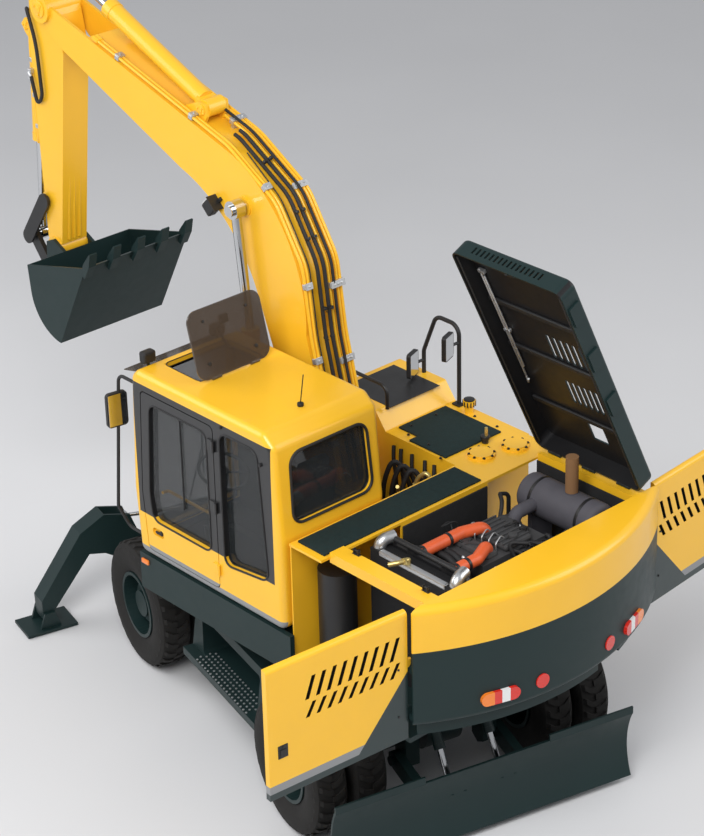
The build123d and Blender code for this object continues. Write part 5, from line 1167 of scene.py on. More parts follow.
@dataclass
class CabTrim:
    """Window seals, handle, handrail, wiper, antenna, lamps, visor and the hatch's fittings."""

    left_y: float = 1240.0
    roof_z: float = 3040.0
    lamp_places: tuple[float, float] = (420.0, 1080.0)
    hatch_nuts: tuple[tuple[float, float, float], ...] = (
        (110.0, 500.0, 14.0), (110.0, 940.0, 14.0), (425.0, 520.0, 10.0), (425.0, 920.0, 10.0),
    )

    def seal(self, name: str, corners: Sequence[Point], radius: float = 9.0,
             bend: float = 75.0) -> bpy.types.Object:
        """Rubber seal round a window.

        Args:
            name: Piece name.
            corners: Corners in millimetres, in order.
            radius: Radius in millimetres.
            bend: Length cut from each corner in millimetres.

        Returns:
            The closed seal.
        """
        start = tuple((a + b) / 2 for a, b in zip(corners[0], corners[-1]))
        return Bench.pipe(name, [start, *corners, start], radius, bend, 3)

    def build(self, place: Place, shop: PaintShop) -> None:
        """Make the trim of the cab, door and hatch.

        Args:
            place: Frames of the assemblies.
            shop: Finishes.
        """
        top = place.machine
        y = self.left_y
        roof = self.roof_z
        rear_window = [(-485, 348, 2328), (-485, 1112, 2328), (-439, 1092, 2872), (-439, 368, 2872)]
        left_window = [(-342, y, 1858), (147, y, 1797), (147, y, 2882), (-262, y, 2882)]
        right_window = [(-292, 240, 2078), (1022, 240, 2078), (1002, 240, 2902), (-292, 240, 2902)]
        opening = [(598, 418, roof), (1022, 418, roof), (1022, 1022, roof), (598, 1022, roof)]
        door_window = [(296, y, 1836), (969, y, 1836), (999, y, 2050), (944, y, 2819), (296, y, 2819)]
        seals = [
            self.seal("seal", rear_window, 11, 100),
            self.seal("seal", left_window, 8, 80),
            self.seal("seal", right_window, 9, 80),
            self.seal("seal", opening, 4, 50),
        ]
        Bench.fit("cab_window_seals", seals, top, "upperstructure", shop.plastic, "black_plastic")
        door_seal = self.seal("door_window_seal", door_window, 7, 70)
        grip = [
            Bench.block("door_grip", (885, y - 16, 1726), (965, y - 2, 1746), 5),
            Bench.rod("door_lock", (900, y - 21, 1752), (900, y - 4, 1752), 13, 18),
            Bench.block("door_bar", (620, y - 34, 2050), (632, y - 22, 2815), 3),
        ]
        Bench.fit("cab_door_trim", [door_seal, *grip], top, "cab_door", shop.plastic, "black_plastic")
        rail = [(330, y - 44, 2080), (330, y - 95, 2080), (900, y - 95, 2080), (900, y - 44, 2080)]
        Bench.fit("cab_door_handrail", [Bench.pipe("door_handrail", rail, 12, 40)], top, "cab_door",
                  shop.yellow, "yellow_paint")
        small = [
            Bench.rod("antenna_foot", (-190, 760, self.roof_z - 2), (-190, 760, self.roof_z + 26), 24, 20, 6),
            Bench.rod("antenna", (-190, 760, self.roof_z + 20), (-230, 760, self.roof_z + 260), 4, 8),
            Bench.rod("wiper_hub", (1164, 720, 1640), (1192, 720, 1640), 24, 18, 4),
            Bench.pipe("wiper_arm", [(1190, 720, 1640), (1206, 720, 1700), (1214, 560, 2100)], 7, 20),
            Bench.block("wiper_blade", (1203, 552, 1880), (1213, 566, 2420), 3),
            Bench.rod("hook", (120, y - 6, 2930), (120, y + 14, 2930), 12, 14, 3),
            Bench.rod("hook", (-300, y - 8, 2790), (-300, y + 14, 2790), 14, 14, 3),
        ]
        Bench.fit("cab_small_trim", small, top, "upperstructure", shop.plastic, "black_plastic")
        marker = Bench.block("cab_marker_lamp", (1060, y - 2, 1408), (1142, y + 16, 1448), 14)
        Bench.settle(marker, top, "upperstructure", shop.amber, "red_lens")
        visor = Bench.block("cab_visor", (1090, 320, 3000), (1300, 1180, 3008), 3)
        for vert in visor.data.vertices:
            if vert.co.x > 1.2:
                vert.co.z -= 0.05
        Bench.settle(visor, top, "upperstructure", shop.smoke, "smoked_glass")
        lamps = []
        for lamp_y in self.lamp_places:
            lamps.append(Bench.block("roof_lamp", (1096, lamp_y - 55, 3040), (1170, lamp_y + 55, 3130), 16))
            lamps.append(Bench.rod("roof_lamp_post", (1130, lamp_y, 2990), (1130, lamp_y, 3046), 12, 12))
        Bench.fit("cab_roof_lamps", lamps, top, "upperstructure", shop.plastic, "black_plastic")
        lenses = [
            Bench.block("roof_lens", (1169, lamp_y - 46, 3050), (1176, lamp_y + 46, 3120), 3)
            for lamp_y in self.lamp_places
        ]
        Bench.fit("cab_roof_lenses", lenses, top, "upperstructure", shop.clear, "bare_aluminium")
        handle = [(150, 700, -7), (150, 700, -60), (330, 740, -90), (330, 740, -8)]
        hatch = [
            Bench.block("hatch_latch", (350, 680, -34), (420, 760, -7), 8),
            Bench.pipe("hatch_handle", handle, 9, 30),
        ]
        for x, nut_y, radius in self.hatch_nuts:
            hatch.append(Bench.rod("hatch_nut", (x, nut_y, -14), (x, nut_y, 12), radius, 12, 3))
        Bench.fit("hatch_fittings", hatch, place.hatch, "roof_hatch", shop.plastic, "black_plastic")


@dataclass
class OperatorStation:
    """Seat with cushions, consoles with joysticks, steering column and wheel, pedals and levers."""

    seat_y: float = 740.0
    floor_z: float = 1545.0
    seam: float = 0.55
    back_lean: float = 99.0
    wheel_lean: float = 22.0

    def cushion(self, name: str, low: Sequence[float], high: Sequence[float], crown: float,
                sew: float) -> bpy.types.Object:
        """Crowned cushion with a sewn channel.

        Args:
            name: Piece name.
            low: Lowest corner in millimetres.
            high: Highest corner in millimetres.
            crown: Rise of its middle in millimetres.
            sew: Depth of the channel in millimetres.

        Returns:
            The cushion.
        """
        piece = Bench.block(name, low, high, 0)
        bpy.ops.object.mode_set(mode="EDIT")
        bpy.ops.mesh.select_all(action="SELECT")
        bpy.ops.mesh.subdivide(number_cuts=9)
        bpy.ops.object.mode_set(mode="OBJECT")
        size = [(b - a) * MM for a, b in zip(low, high)]
        for vert in piece.data.vertices:
            share = [(vert.co[i] - low[i] * MM) / size[i] * 2 - 1 for i in range(3)]
            dome = (1 - share[0] ** 4) * (1 - share[1] ** 4)
            vert.co.z += crown * MM * dome * max(share[2], 0.0)
            channel = math.exp(-((abs(share[1]) - self.seam) / 0.05) ** 2)
            if abs(share[1]) < self.seam:
                channel += math.exp(-((share[0] - 0.1) / 0.04) ** 2)
            vert.co.z -= sew * MM * min(channel, 1.0) * max(share[2], 0.0)
            pinch = 1 - 0.05 * share[2] ** 2
            for axis in (0, 1):
                middle = low[axis] * MM + size[axis] / 2
                vert.co[axis] = (vert.co[axis] - middle) * pinch + middle
        soften = piece.modifiers.new("soften", "SUBSURF")
        soften.levels = soften.render_levels = 1
        bpy.context.view_layer.objects.active = piece
        bpy.ops.object.modifier_apply(modifier="soften")
        bpy.ops.object.shade_smooth()
        return piece

    def hoop(self, name: str, radius: float, tube: float) -> bpy.types.Object:
        """Ring spun about the Z axis.

        Args:
            name: Piece name.
            radius: Radius of the ring in millimetres.
            tube: Radius of its section in millimetres.

        Returns:
            The ring at the origin.
        """
        Bench.clear()
        bpy.ops.mesh.primitive_circle_add(vertices=10, radius=tube * MM, location=(radius * MM, 0.0, 0.0),
                                          rotation=(math.pi / 2, 0.0, 0.0))
        piece = Bench.named(name)
        bpy.ops.object.transform_apply(location=True, rotation=True, scale=True)
        bpy.ops.object.mode_set(mode="EDIT")
        bpy.ops.mesh.select_all(action="SELECT")
        bpy.ops.mesh.spin(steps=36, angle=math.tau, center=(0.0, 0.0, 0.0), axis=(0.0, 0.0, 1.0))
        bpy.ops.mesh.select_all(action="SELECT")
        bpy.ops.mesh.remove_doubles(threshold=0.0002)
        bpy.ops.mesh.normals_make_consistent(inside=False)
        bpy.ops.object.mode_set(mode="OBJECT")
        bpy.ops.object.shade_smooth()
        return piece

    def build(self, place: Place, shop: PaintShop) -> None:
        """Make the operator's place.

        Args:
            place: Frames of the assemblies.
            shop: Finishes.
        """
        top, y = place.machine, self.seat_y
        cushion = self.cushion("seat_cushion", (-120, y - 235, 1850), (390, y + 235, 1950), 28, 9)
        back = self.cushion("seat_back", (-60, y - 225, -60), (540, y + 225, 40), 30, 9)
        Bench.lean(back, (-0.175, 0.0, 1.955), -self.back_lean, "Y")
        rest = self.cushion("seat_headrest", (0, y - 130, -30), (150, y + 130, 40), 16, 3)
        Bench.lean(rest, (-0.262, 0.0, 2.49), -self.back_lean, "Y")
        for piece in (cushion, back, rest):
            Bench.settle(piece, top, "upperstructure", shop.fabric, "seat_fabric")
            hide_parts("operator_seat")
        hard = [
            Bench.block("seat_base", (-110, y - 190, self.floor_z), (360, y + 190, 1846), 30),
            Bench.block("console_left", (-150, y + 250, 1760), (330, y + 330, 1990), 25),
            Bench.block("console_right", (-150, y - 340, 1560), (380, y - 250, 2010), 25),
            Bench.block("seat_shell", (-225, y - 200, 1900), (-185, y + 200, 2450), 15),
            Bench.block("dash", (760, y - 150, self.floor_z), (880, y + 110, 1680), 20),
            Bench.block("side_panel", (-400, 300, self.floor_z), (640, 400, 1900), 30),
            Bench.block("rear_shelf", (-430, 300, self.floor_z), (-270, 1180, 2230), 25),
        ]
        for x, lever_y in ((270, y + 290), (310, y - 295)):
            course = [(x, lever_y, 1985), (x + 20, lever_y, 2060), (x + 10, lever_y, 2110)]
            hard.append(Bench.pipe("joystick", course, 9, 20))
            low, high = (x - 14, lever_y - 18, 2095), (x + 30, lever_y + 18, 2190)
            hard.append(Bench.block("joystick_grip", low, high, 13))
        for lever_y in (y - 70, y + 70):
            course = [(720, lever_y, 1550), (740, lever_y, 1800), (700, lever_y, 1980)]
            hard.append(Bench.pipe("travel_lever", course, 10, 60))
            hard.append(Bench.block("pedal", (650, lever_y - 45, 1560), (760, lever_y + 45, 1580), 5))
        hard.append(Bench.rod("steering_column", (850, y, 1600), (742, y, 2125), 42, 24, 6))
        wheel = [
            self.hoop("steering_wheel", 190, 14),
            Bench.rod("wheel_hub", (0, 0, -30), (0, 0, 14), 44, 24, 6),
        ]
        for turn in (0.0, 2.1, 4.2):
            out = Vector((math.cos(turn), math.sin(turn), 0.0))
            wheel.append(Bench.rod("spoke", out * 30 + Vector((0.0, 0.0, -8.0)), out * 188, 9, 10))
        ring = Bench.joined("steering_wheel", wheel)
        Bench.lean(ring, (0.736, y * MM, 2.150), -self.wheel_lean, "Y")
        hard.append(ring)
        fixed = Bench.fit("operator_controls", hard, top, "upperstructure", shop.plastic, "black_plastic")
        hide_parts("operator_seat")


@dataclass
class EngineDress:
    """What shows round the engine block: covers, hoses, wiring, cooler tanks, clamps and linings."""

    seed: int = 7
    cables: int = 22
    unions: tuple[Point, ...] = (
        (-1380, 310, 2096), (-1210, 300, 2086), (-1590, 200, 2050), (-1060, -120, 2062), (-1340, -300, 2092),
    )

    def build(self, place: Place, shop: PaintShop) -> None:
        """Dress the engine bay.

        Args:
            place: Frames of the assemblies.
            shop: Finishes.
        """
        self.coolers(place, shop)
        self.clamps(place, shop)
        self.covers(place, shop)
        self.plumbing(place, shop)
        self.linings(place, shop)

    def coolers(self, place: Place, shop: PaintShop) -> None:
        """Build the cooler's tanks, elbows, rail and tap, and the shroud behind them.

        Args:
            place: Frames of the assemblies.
            shop: Finishes.
        """
        top = place.machine
        tanks = []
        for x, inward in ((-930, -1), (-1690, 1)):
            course = [(x, 706, 1650), (x, 706, 2226), (x + 30 * inward, 590, 2232)]
            tanks.append(Bench.pipe("tank", course, 46, 62, 5))
            tanks.append(Bench.rod("tank_stub", (x, 705, 2100), (x + 74 * inward, 705, 2100), 24, 18))
        tanks.append(Bench.block("cooler_rail", (-1640, 716, 2146), (-980, 768, 2190), 12))
        tap = [
            Bench.rod("cooler_port", (-1250, 742, 2184), (-1250, 742, 2226), 24, 8, 3),
            Bench.pipe("cooler_tap", [(-1250, 742, 2216), (-1250, 800, 2222), (-1190, 870, 2206)], 19, 30),
            Bench.rod("tap_nut", (-1250, 764, 2217), (-1250, 786, 2220), 27, 6),
        ]
        Bench.fit("cooler_tap", tap, top, "upperstructure", shop.brass, "bare_aluminium")
        Bench.fit("cooler_tanks", tanks, top, "upperstructure", shop.silver, "bare_aluminium")
        shroud = Bench.block("cooler_shroud", (-1745, 600, 1500), (-875, 626, 2190), 0)
        course = [(-1745, 613, 1600), (-1745, 613, 2228), (-875, 613, 2228), (-875, 613, 1600)]
        shroud_rim = Bench.pipe("shroud_rim", course, 23, 120, 4)
        Bench.fit("cooler_shroud", [shroud, shroud_rim], top, "upperstructure", shop.black, "black_paint")

    def clamps(self, place: Place, shop: PaintShop) -> None:
        """Clamp the charge air hoses and strap the silencer.

        Args:
            place: Frames of the assemblies.
            shop: Finishes.
        """
        top = place.machine
        bands = []
        for x, ys in ((-1160, (505, 250)), (-1500, (505, 400))):
            for y in ys:
                bands.append(Bench.rod("clamp", (x, y, 2150), (x, y + 26, 2150), 50, 32, 2))
        for x in (-1580, -1120):
            bands.append(Bench.rod("silencer_strap", (x, -760, 2080), (x + 26, -760, 2080), 153, 48, 2))
        Bench.fit("engine_clamps", bands, top, "upperstructure", shop.black, "black_paint")

    def covers(self, place: Place, shop: PaintShop) -> None:
        """Set covers, filter, turbocharger, alternator and pump on the engine.

        Args:
            place: Frames of the assemblies.
            shop: Finishes.
        """
        top = place.machine
        covers = [
            Bench.block("rocker_cover", (-1500, -250, 2078), (-1130, 20, 2128), 22),
            Bench.block("intake", (-1480, 70, 2000), (-1130, 200, 2118), 26),
            Bench.rod("filler", (-1440, -110, 2120), (-1440, -110, 2160), 34, 24, 5),
            Bench.rod("turbo", (-1180, -400, 1960), (-1060, -400, 1960), 92, 32, 18),
            Bench.rod("turbo_inlet", (-1120, -330, 1990), (-1120, -250, 2060), 40, 24, 6),
            Bench.rod("filter", (-1420, 420, 1700), (-1420, 420, 1930), 56, 28, 10),
            Bench.rod("alternator", (-1060, 250, 1980), (-980, 250, 1980), 78, 28, 10),
            Bench.rod("pulley", (-975, 60, 1760), (-940, 60, 1760), 130, 36, 6),
            Bench.block("pump", (-1640, -420, 1900), (-1540, -250, 2040), 20),
        ]
        for x in range(-1470, -1140, 46):
            covers.append(Bench.block("cover_rib", (x, -244, 2122), (x + 14, 14, 2140), 4))
        Bench.fit("engine_covers", covers, top, "upperstructure", shop.cast, "grey_cast")

    def plumbing(self, place: Place, shop: PaintShop) -> None:
        """Lay the tangle of hoses, the coolant hoses, the injection pipes and their unions.

        Args:
            place: Frames of the assemblies.
            shop: Finishes.
        """
        top = place.machine
        dice = random.Random(self.seed)
        wires = []
        for index in range(self.cables):
            x = dice.uniform(-1660, -1040)
            y = dice.uniform(-420, 330)
            z = dice.uniform(2070, 2150)
            points = [(x, y, z - 140)]
            for _ in range(4):
                x += dice.uniform(-150, 150)
                y += dice.uniform(-130, 130)
                points.append((min(max(x, -1740), -960), min(max(y, -560), 560), z + dice.uniform(-30, 26)))
            points.append((points[-1][0], points[-1][1], z - 190))
            wires.append(Bench.pipe("engine_hose", points, dice.choice((5, 6, 8, 12, 16)), 60, 2))
        for y in (380, 440):
            points = [(-1000, y, 1990), (-1020, y - 60, 2090), (-1300, y - 90, 2080), (-1520, y - 40, 1900)]
            wires.append(Bench.pipe("coolant_hose", points, 26, 90, 3))
        Bench.fit("engine_hoses", wires, top, "upperstructure", shop.hose, "black_plastic")
        bright = []
        for x in range(-1440, -1150, 70):
            points = [(x, 60, 2090), (x, 66, 2150), (x + 30, -20, 2170), (x + 30, -60, 2128)]
            bright.append(Bench.pipe("injection_pipe", points, 5, 24, 2))
        for spot in self.unions:
            bright.append(Bench.rod("union", spot, (spot[0] + 26, spot[1], spot[2] + 14), 13, 6))
        Bench.fit("engine_bright_parts", bright, top, "upperstructure", shop.zinc, "bare_aluminium")

    def linings(self, place: Place, shop: PaintShop) -> None:
        """Line the bay's walls and set the seats that carry the shut hood.

        Args:
            place: Frames of the assemblies.
            shop: Finishes.
        """
        top = place.machine
        lining = [
            Bench.block("heat_shield", (-1784, -962, 1500), (-866, -952, 2214), 4),
            Bench.block("foam", (-864, -440, 1240), (-851, 410, 2190), 4),
            Bench.block("foam", (-1780, -975, 1240), (-1768, 960, 2180), 4),
        ]
        Bench.fit("bay_lining", lining, top, "upperstructure", shop.foam, "black_plastic")
        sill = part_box("bay_walls")[1][2] / MM
        seats = []
        for x in (-1690, -1000):
            for side in (-26, 18):
                low, high = (x + side, 978, sill - 3), (x + side + 8, 1002, sill + 46)
                seats.append(Bench.block("hood_seat_cheek", low, high, 3))
            seats.append(Bench.block("hood_seat_foot", (x - 34, 976, sill - 4), (x + 34, 1003, sill + 6), 2))
            start, end = (x - 34, 990, sill + 30), (x + 34, 990, sill + 30)
            seats.append(Bench.rod("hood_seat_pin", start, end, 7, 12))
        Bench.fit("hood_seats", seats, top, "upperstructure", shop.black, "black_paint")


@dataclass
class DeckDress:
    """Bolts on the round covers, brass valve, hoses on the deck's inner side, cap, vents and handrail."""

    deck_z: float = 2226.0
    cover_z: float = 2246.0
    mat_z: float = 2240.0
    covers: tuple[tuple[float, float], ...] = ((-540.0, -700.0), (-620.0, -980.0))
    cover_bolts: int = 8
    cover_ring: float = 96.0
    mat_bolts: tuple[tuple[float, float], ...] = (
        (-380.0, -430.0), (-160.0, -520.0), (60.0, -520.0), (150.0, -900.0), (150.0, -640.0),
    )
    edge_bolts: tuple[tuple[float, float], ...] = ((-300.0, -1110.0), (-60.0, -1110.0), (200.0, -1060.0))
    cap: tuple[float, float] = (20.0, -1130.0)

    def build(self, place: Place, shop: PaintShop) -> None:
        """Dress the right deck and the deck behind the cab.

        Args:
            place: Frames of the assemblies.
            shop: Finishes.
        """
        top = place.machine
        spots = []
        for x, y in self.covers:
            for index in range(self.cover_bolts):
                turn = math.tau * index / self.cover_bolts + 0.2
                across, along = self.cover_ring * math.cos(turn), self.cover_ring * math.sin(turn)
                spots.append((x + across, y + along, self.cover_z))
        spots += [(x, y, self.mat_z) for x, y in self.mat_bolts]
        spots += [(x, y, self.deck_z) for x, y in self.edge_bolts]
        stands = [Matrix.Translation(Vector(spot) * MM) for spot in spots]
        bolts = Bench.scatter(Bench.bolt("deck_bolts", 8.5, 9), stands)
        Bench.settle(bolts, top, "upperstructure", shop.black, "black_paint")
        brass = [
            Bench.block("valve", (-560, -200, 1900), (-500, -120, 1980), 10),
            Bench.pipe("valve_pipe", [(-530, -160, 1970), (-530, -160, 2120), (-600, -200, 2190),
                                      (-640, -210, 2120)], 17, 40),
            Bench.pipe("valve_pipe", [(-530, -120, 1940), (-500, -40, 1960), (-520, 20, 2090),
                                      (-560, 60, 2150)], 14, 40),
            Bench.rod("valve_nut", (-530, -160, 2040), (-530, -160, 2080), 30, 6),
            Bench.rod("valve_nut", (-530, -160, 1985), (-530, -160, 2010), 27, 6),
            Bench.rod("deck_tap", (-560, -860, 2226), (-560, -860, 2300), 13, 6),
        ]
        valve = Bench.joined("deck_valve", brass)
        valve.data.transform(Matrix.Translation((0.13, 0.0, 0.06)))
        Bench.settle(valve, top, "upperstructure", shop.brass, "bare_aluminium")
        hoses = []
        for x, y, drop in ((-300, -442, 700), (-200, -442, 760), (-60, -442, 620), (60, -442, 680),
                           (140, -442, 500)):
            points = [(x, y, 2150), (x - 20, y + 26, 2060), (x - 60, y + 34, 1900),
                      (x - 40, y + 30, 2150 - drop)]
            hoses.append(Bench.pipe("deck_hose", points, 15, 60, 3))
        for x in (-60, 40, 130):
            points = [(x - 360, -330, 1500), (x - 330, -300, 2000), (x - 240, -210, 2240),
                      (x - 200, -140, 2060), (x - 190, -120, 1720)]
            hoses.append(Bench.pipe("boom_foot_hose", points, 19, 120, 3))
        Bench.fit("deck_hoses", hoses, top, "upperstructure", shop.hose, "black_plastic")
        extras = [
            Bench.rod("breather", (-420, -860, 2226), (-420, -860, 2262), 26, 20, 4),
            Bench.rod("breather_top", (-420, -860, 2262), (-420, -860, 2290), 38, 24, 8),
            Bench.block("box_panel", (300, -1090, 2368), (820, -560, 2373), 2),
            Bench.rod("fuel_cap_top", (*self.cap, 2332), (*self.cap, 2344), 44, 24, 5),
        ]
        for index in range(12):
            turn = math.tau * index / 12
            spot = (self.cap[0] + 50 * math.cos(turn), self.cap[1] + 50 * math.sin(turn))
            extras.append(Bench.rod("cap_grip", (*spot, 2288), (*spot, 2330), 5, 8))
        Bench.fit("deck_fittings", extras, top, "upperstructure", shop.black, "black_paint")
        course = [(830, -530, 2372), (830, -530, 2560), (300, -530, 2560), (300, -530, 2372)]
        rail = Bench.pipe("deck_handrail", course, 15, 70, 4)
        Bench.settle(rail, top, "upperstructure", shop.black, "black_paint")


@dataclass
class CoverTrim:
    """Stay, latch and stiffeners of the hood, and locks, stays and pulls of the two side doors."""

    hood_width: float = 2075.0

    def build(self, place: Place, shop: PaintShop) -> None:
        """Dress the hood and the side doors.

        Args:
            place: Frames of the assemblies.
            shop: Finishes.
        """
        stays = [
            Bench.rod("stay", (-860, 700, 116), (-860, 1820, 116), 8, 12),
            Bench.rod("stay", (-890, 820, 112), (-890, 1760, 112), 8, 12),
            Bench.pipe("stay_hook", [(-860, 700, 116), (-870, 640, 104), (-900, 700, 96)], 8, 20),
            Bench.block("stay_clip", (-905, 1780, 104), (-845, 1812, 134), 4),
            Bench.block("stay_clip", (-905, 1180, 104), (-845, 1206, 134), 4),
        ]
        Bench.fit("hood_stays", stays, place.hood, "hood", shop.zinc, "bare_aluminium")
        width = self.hood_width
        inner = [
            Bench.block("latch", (-1360, width - 66, 20), (-1260, width - 16, 90), 8),
            Bench.rod("latch_hook", (-1310, width - 60, 34), (-1310, width - 30, 8), 9, 10),
        ]
        for y in (420, 1010, 1480):
            inner.append(Bench.block("stiffener", (-1800, y, 112), (-820, y + 46, 135), 8))
        for x in (-1790, -824):
            inner.append(Bench.pipe("rim_rubber", [(x, 60, 14), (x, width - 60, 14)], 8, 10, 2))
        inner.append(Bench.pipe("rim_rubber", [(-1780, width - 22, 14), (-840, width - 22, 14)], 8, 10, 2))
        Bench.fit("hood_inner_trim", inner, place.hood, "hood", shop.plastic, "black_plastic")
        for name, hand in HANDS:
            out = 22.5 * hand
            body = f"side_door_{name}"
            lock = [
                Bench.block("lock_plate", (1040, out - 2 * hand, 1540), (1120, out + 4 * hand, 1640), 2),
                Bench.block("lock_paddle", (1056, out + 3 * hand, 1556), (1104, out + 10 * hand, 1606), 3),
                Bench.rod("lock_barrel", (1080, out, 1622), (1080, out + 9 * hand, 1622), 9, 16, 2),
                Bench.rod("hinge_bolt", (110, out - hand, 1440), (110, out + 7 * hand, 1440), 9, 6, 2),
                Bench.rod("hinge_bolt", (110, out - hand, 1820), (110, out + 7 * hand, 1820), 9, 6, 2),
            ]
            Bench.fit(f"side_door_lock_{name}", lock, place.leaves[name], body, shop.plastic, "black_plastic")
            course = [(180, -out - 18 * hand, 1345), (560, -out - 30 * hand, 1365),
                      (900, -out - 18 * hand, 1350)]
            ribs = [
                Bench.block("rib", (90, -out - 16 * hand, 1300), (1150, -out + hand, 1330), 4),
                Bench.block("rib", (90, -out - 16 * hand, 1660), (1150, -out + hand, 1690), 4),
                Bench.block("rib", (600, -out - 15 * hand, 1330), (630, -out + hand, 1660), 4),
                Bench.pipe("door_stay", course, 7, 60, 2),
            ]
            backing = Bench.block(f"louvre_backing_{name}", (78, -out - 4 * hand, 1742),
                                  (972, -out + hand, 2098), 1)
            Bench.settle(backing, place.leaves[name], body, shop.foam, "black_plastic")
            Bench.fit(f"side_door_ribs_{name}", ribs, place.leaves[name], body, shop.yellow, "yellow_paint")


@dataclass
class CarriageDress:
    """Studs on the step treads, and hoses to the axles, blade and outriggers."""

    stud_pitch: float = 46.8
    stud_rows: tuple[float, ...] = (1190.0, 1150.0, 1110.0, 1070.0, 1030.0)
    studs_per_row: int = 20
    tread_start: float = -290.0
    tread_end: float = 590.0
    tread_z: float = 573.5

    def build(self, place: Place, shop: PaintShop) -> None:
        """Dress the carriage.

        Args:
            place: Frames of the assemblies.
            shop: Finishes.
        """
        spots = []
        for hand in (1, -1):
            for row, y in enumerate(self.stud_rows):
                for index in range(self.studs_per_row):
                    x = self.tread_start + index * self.stud_pitch + (row % 2) * 22
                    if x < self.tread_end:
                        spots.append(Matrix.Translation((x * MM, y * hand * MM, self.tread_z * MM)))
        stud = Bench.rod("step_studs", (0, 0, -1), (0, 0, 5), 9, 8, 1.5)
        studs = Bench.scatter(stud, spots)
        Bench.settle(studs, place.carriage, "undercarriage", shop.zinc, "dark_green_paint")
        hoses = []
        for hand in (1, -1):
            axle = [(-420, 180 * hand, 980), (-620, 240 * hand, 900), (-900, 330 * hand, 820),
                    (-960, 420 * hand, 700)]
            blade = [(-1190, 150 * hand, 900), (-1260, 150 * hand, 1000), (-1215, 205 * hand, 1010)]
            leg = [(2330, 180 * hand, 760), (2330, 260 * hand, 800), (2400, 330 * hand, 740)]
            hoses.append(Bench.pipe("axle_hose", axle, 12, 80, 2))
            hoses.append(Bench.pipe("blade_hose", blade, 10, 40, 2))
            hoses.append(Bench.pipe("outrigger_hose", leg, 11, 40, 2))
        Bench.fit("carriage_hoses", hoses, place.carriage, "undercarriage", shop.hose, "black_plastic")


@dataclass
class MirrorGlass:
    """Silvered panes on the three mirror heads."""

    def build(self, place: Place, shop: PaintShop) -> None:
        """Set the panes.

        Args:
            place: Frames of the assemblies.
            shop: Finishes.
        """
        panes = []
        for x, z, y, turn, low, high in (
            (170.0, 2760.0, -1080.0, 20.0, (-10.0, -80.0), (120.0, 110.0)),
            (560.0, 2480.0, -1080.0, 20.0, (-10.0, -80.0), (120.0, 110.0)),
            (1360.0, 0.0, 1209.0, -10.0, (-60.0, 2490.0), (90.0, 2750.0)),
        ):
            pane = Bench.block("mirror_pane", (-19, low[0], low[1]), (-15.5, high[0], high[1]), 1.5)
            Bench.lean(pane, (x * MM, y * MM, z * MM), turn, "Z")
            panes.append(pane)
        Bench.fit("mirror_panes", panes, place.machine, "upperstructure", shop.mirror, "chrome_rod")


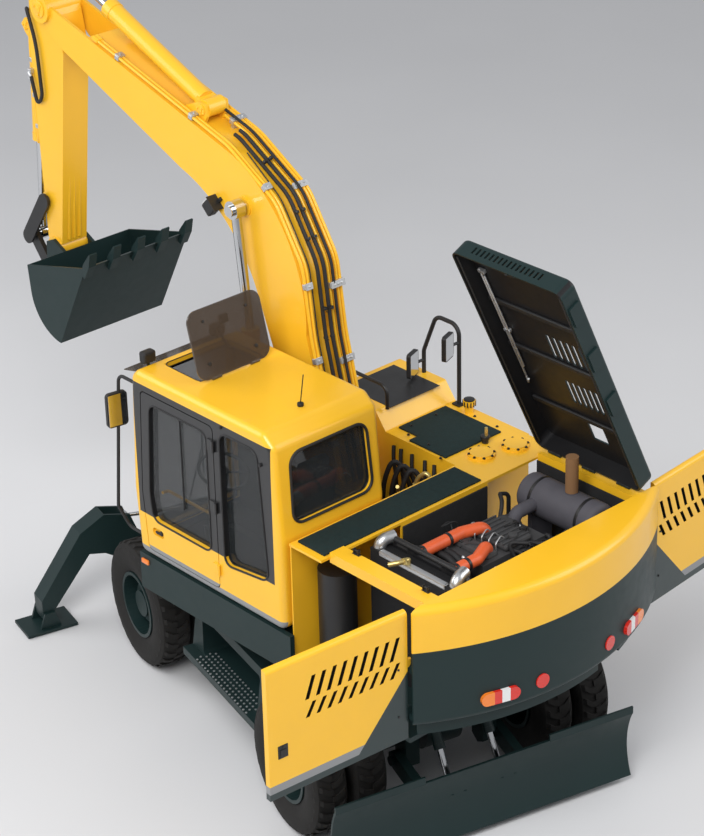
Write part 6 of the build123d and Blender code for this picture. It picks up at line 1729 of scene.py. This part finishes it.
@dataclass
class Studio:
    """Floor, lamps and camera."""

    floor_size: float = 60.0
    lens: float = 129.2
    sensor: float = 36.0
    shift: tuple[float, float] = (-0.0325, -0.0125)
    stand: Point = (-12.23352, 11.10939, 11.13255)
    turn: Point = (1.0973016, 0.0166953, -2.3222430)

    def floor(self) -> None:
        """Lay the pale floor."""
        Bench.clear()
        bpy.ops.mesh.primitive_plane_add(size=self.floor_size)
        floor = Bench.named("studio_floor")
        bpy.ops.object.mode_set(mode="EDIT")
        bpy.ops.mesh.subdivide(number_cuts=4)
        bpy.ops.object.mode_set(mode="OBJECT")
        material = bpy.data.materials.new("studio_floor_pale")
        material.use_nodes = True
        nodes, links = material.node_tree.nodes, material.node_tree.links
        shader = nodes["Principled BSDF"]
        shader.inputs["Roughness"].default_value = 0.7
        place = nodes.new("ShaderNodeTexCoord")
        cloud = nodes.new("ShaderNodeTexNoise")
        cloud.inputs["Scale"].default_value = 0.4
        links.new(place.outputs["Object"], cloud.inputs["Vector"])
        tone = nodes.new("ShaderNodeMix")
        tone.data_type = "RGBA"
        tone.inputs["A"].default_value = (0.66, 0.66, 0.67, 1.0)
        tone.inputs["B"].default_value = (0.71, 0.71, 0.72, 1.0)
        links.new(cloud.outputs["Fac"], tone.inputs["Factor"])
        links.new(tone.outputs["Result"], shader.inputs["Base Color"])
        floor.data.materials.append(material)

    def lamps(self) -> None:
        """Hang soft lamps round the machine and light the world evenly."""
        for name, spot, size, power in (
            ("key_lamp", (-6.0, 9.0, 12.0), 7.0, 1500.0),
            ("fill_lamp", (9.0, 8.0, 9.0), 9.0, 700.0),
            ("back_lamp", (-9.0, -8.0, 9.0), 8.0, 600.0),
        ):
            lamp = bpy.data.lights.new(name, "AREA")
            lamp.energy = power
            lamp.size = size
            piece = bpy.data.objects.new(name, lamp)
            piece.location = spot
            aim = Vector((0.0, 0.0, 1.0)) - Vector(spot)
            piece.rotation_euler = aim.to_track_quat("-Z", "Y").to_euler()
            bpy.context.collection.objects.link(piece)
        world = bpy.context.scene.world or bpy.data.worlds.new("studio_world")
        bpy.context.scene.world = world
        world.use_nodes = True
        world.node_tree.nodes["Background"].inputs["Color"].default_value = (0.62, 0.63, 0.65, 1.0)
        world.node_tree.nodes["Background"].inputs["Strength"].default_value = 0.75

    def camera(self, place: Place) -> None:
        """Set the camera at the photograph's angle.

        Args:
            place: Frames of the assemblies.
        """
        data = bpy.data.cameras.new("photo_camera")
        data.sensor_fit = "HORIZONTAL"
        data.sensor_width = self.sensor
        data.lens = self.lens
        data.shift_x, data.shift_y = self.shift
        data.clip_end = 200.0
        camera = bpy.data.objects.new("photo_camera", data)
        camera.location = place.machine @ Vector(self.stand)
        camera.rotation_euler = Euler(self.turn, "XYZ")
        bpy.context.collection.objects.link(camera)
        bpy.context.scene.camera = camera

    def build(self, place: Place) -> None:
        """Set up the studio.

        Args:
            place: Frames of the assemblies.
        """
        self.floor()
        self.lamps()
        self.camera(place)
        bpy.context.scene.view_settings.view_transform = "Standard"


def main() -> None:
    """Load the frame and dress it."""
    logging.basicConfig(level=logging.INFO, format="%(message)s")
    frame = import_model()
    place = Place(frame["record"])
    shop = PaintShop(place)
    shop.dress(frame["nodes"])
    RoadTyres().build(place, shop)
    WheelTrim().build(place, shop)
    for assembly in (
        BoomLines(), ArmLines(), PinCaps(), CabTrim(), OperatorStation(), EngineDress(), DeckDress(),
        CoverTrim(), CarriageDress(), MirrorGlass(),
    ):
        assembly.build(place, shop)
    Studio().build(place)


if __name__ == "__main__":
    main()
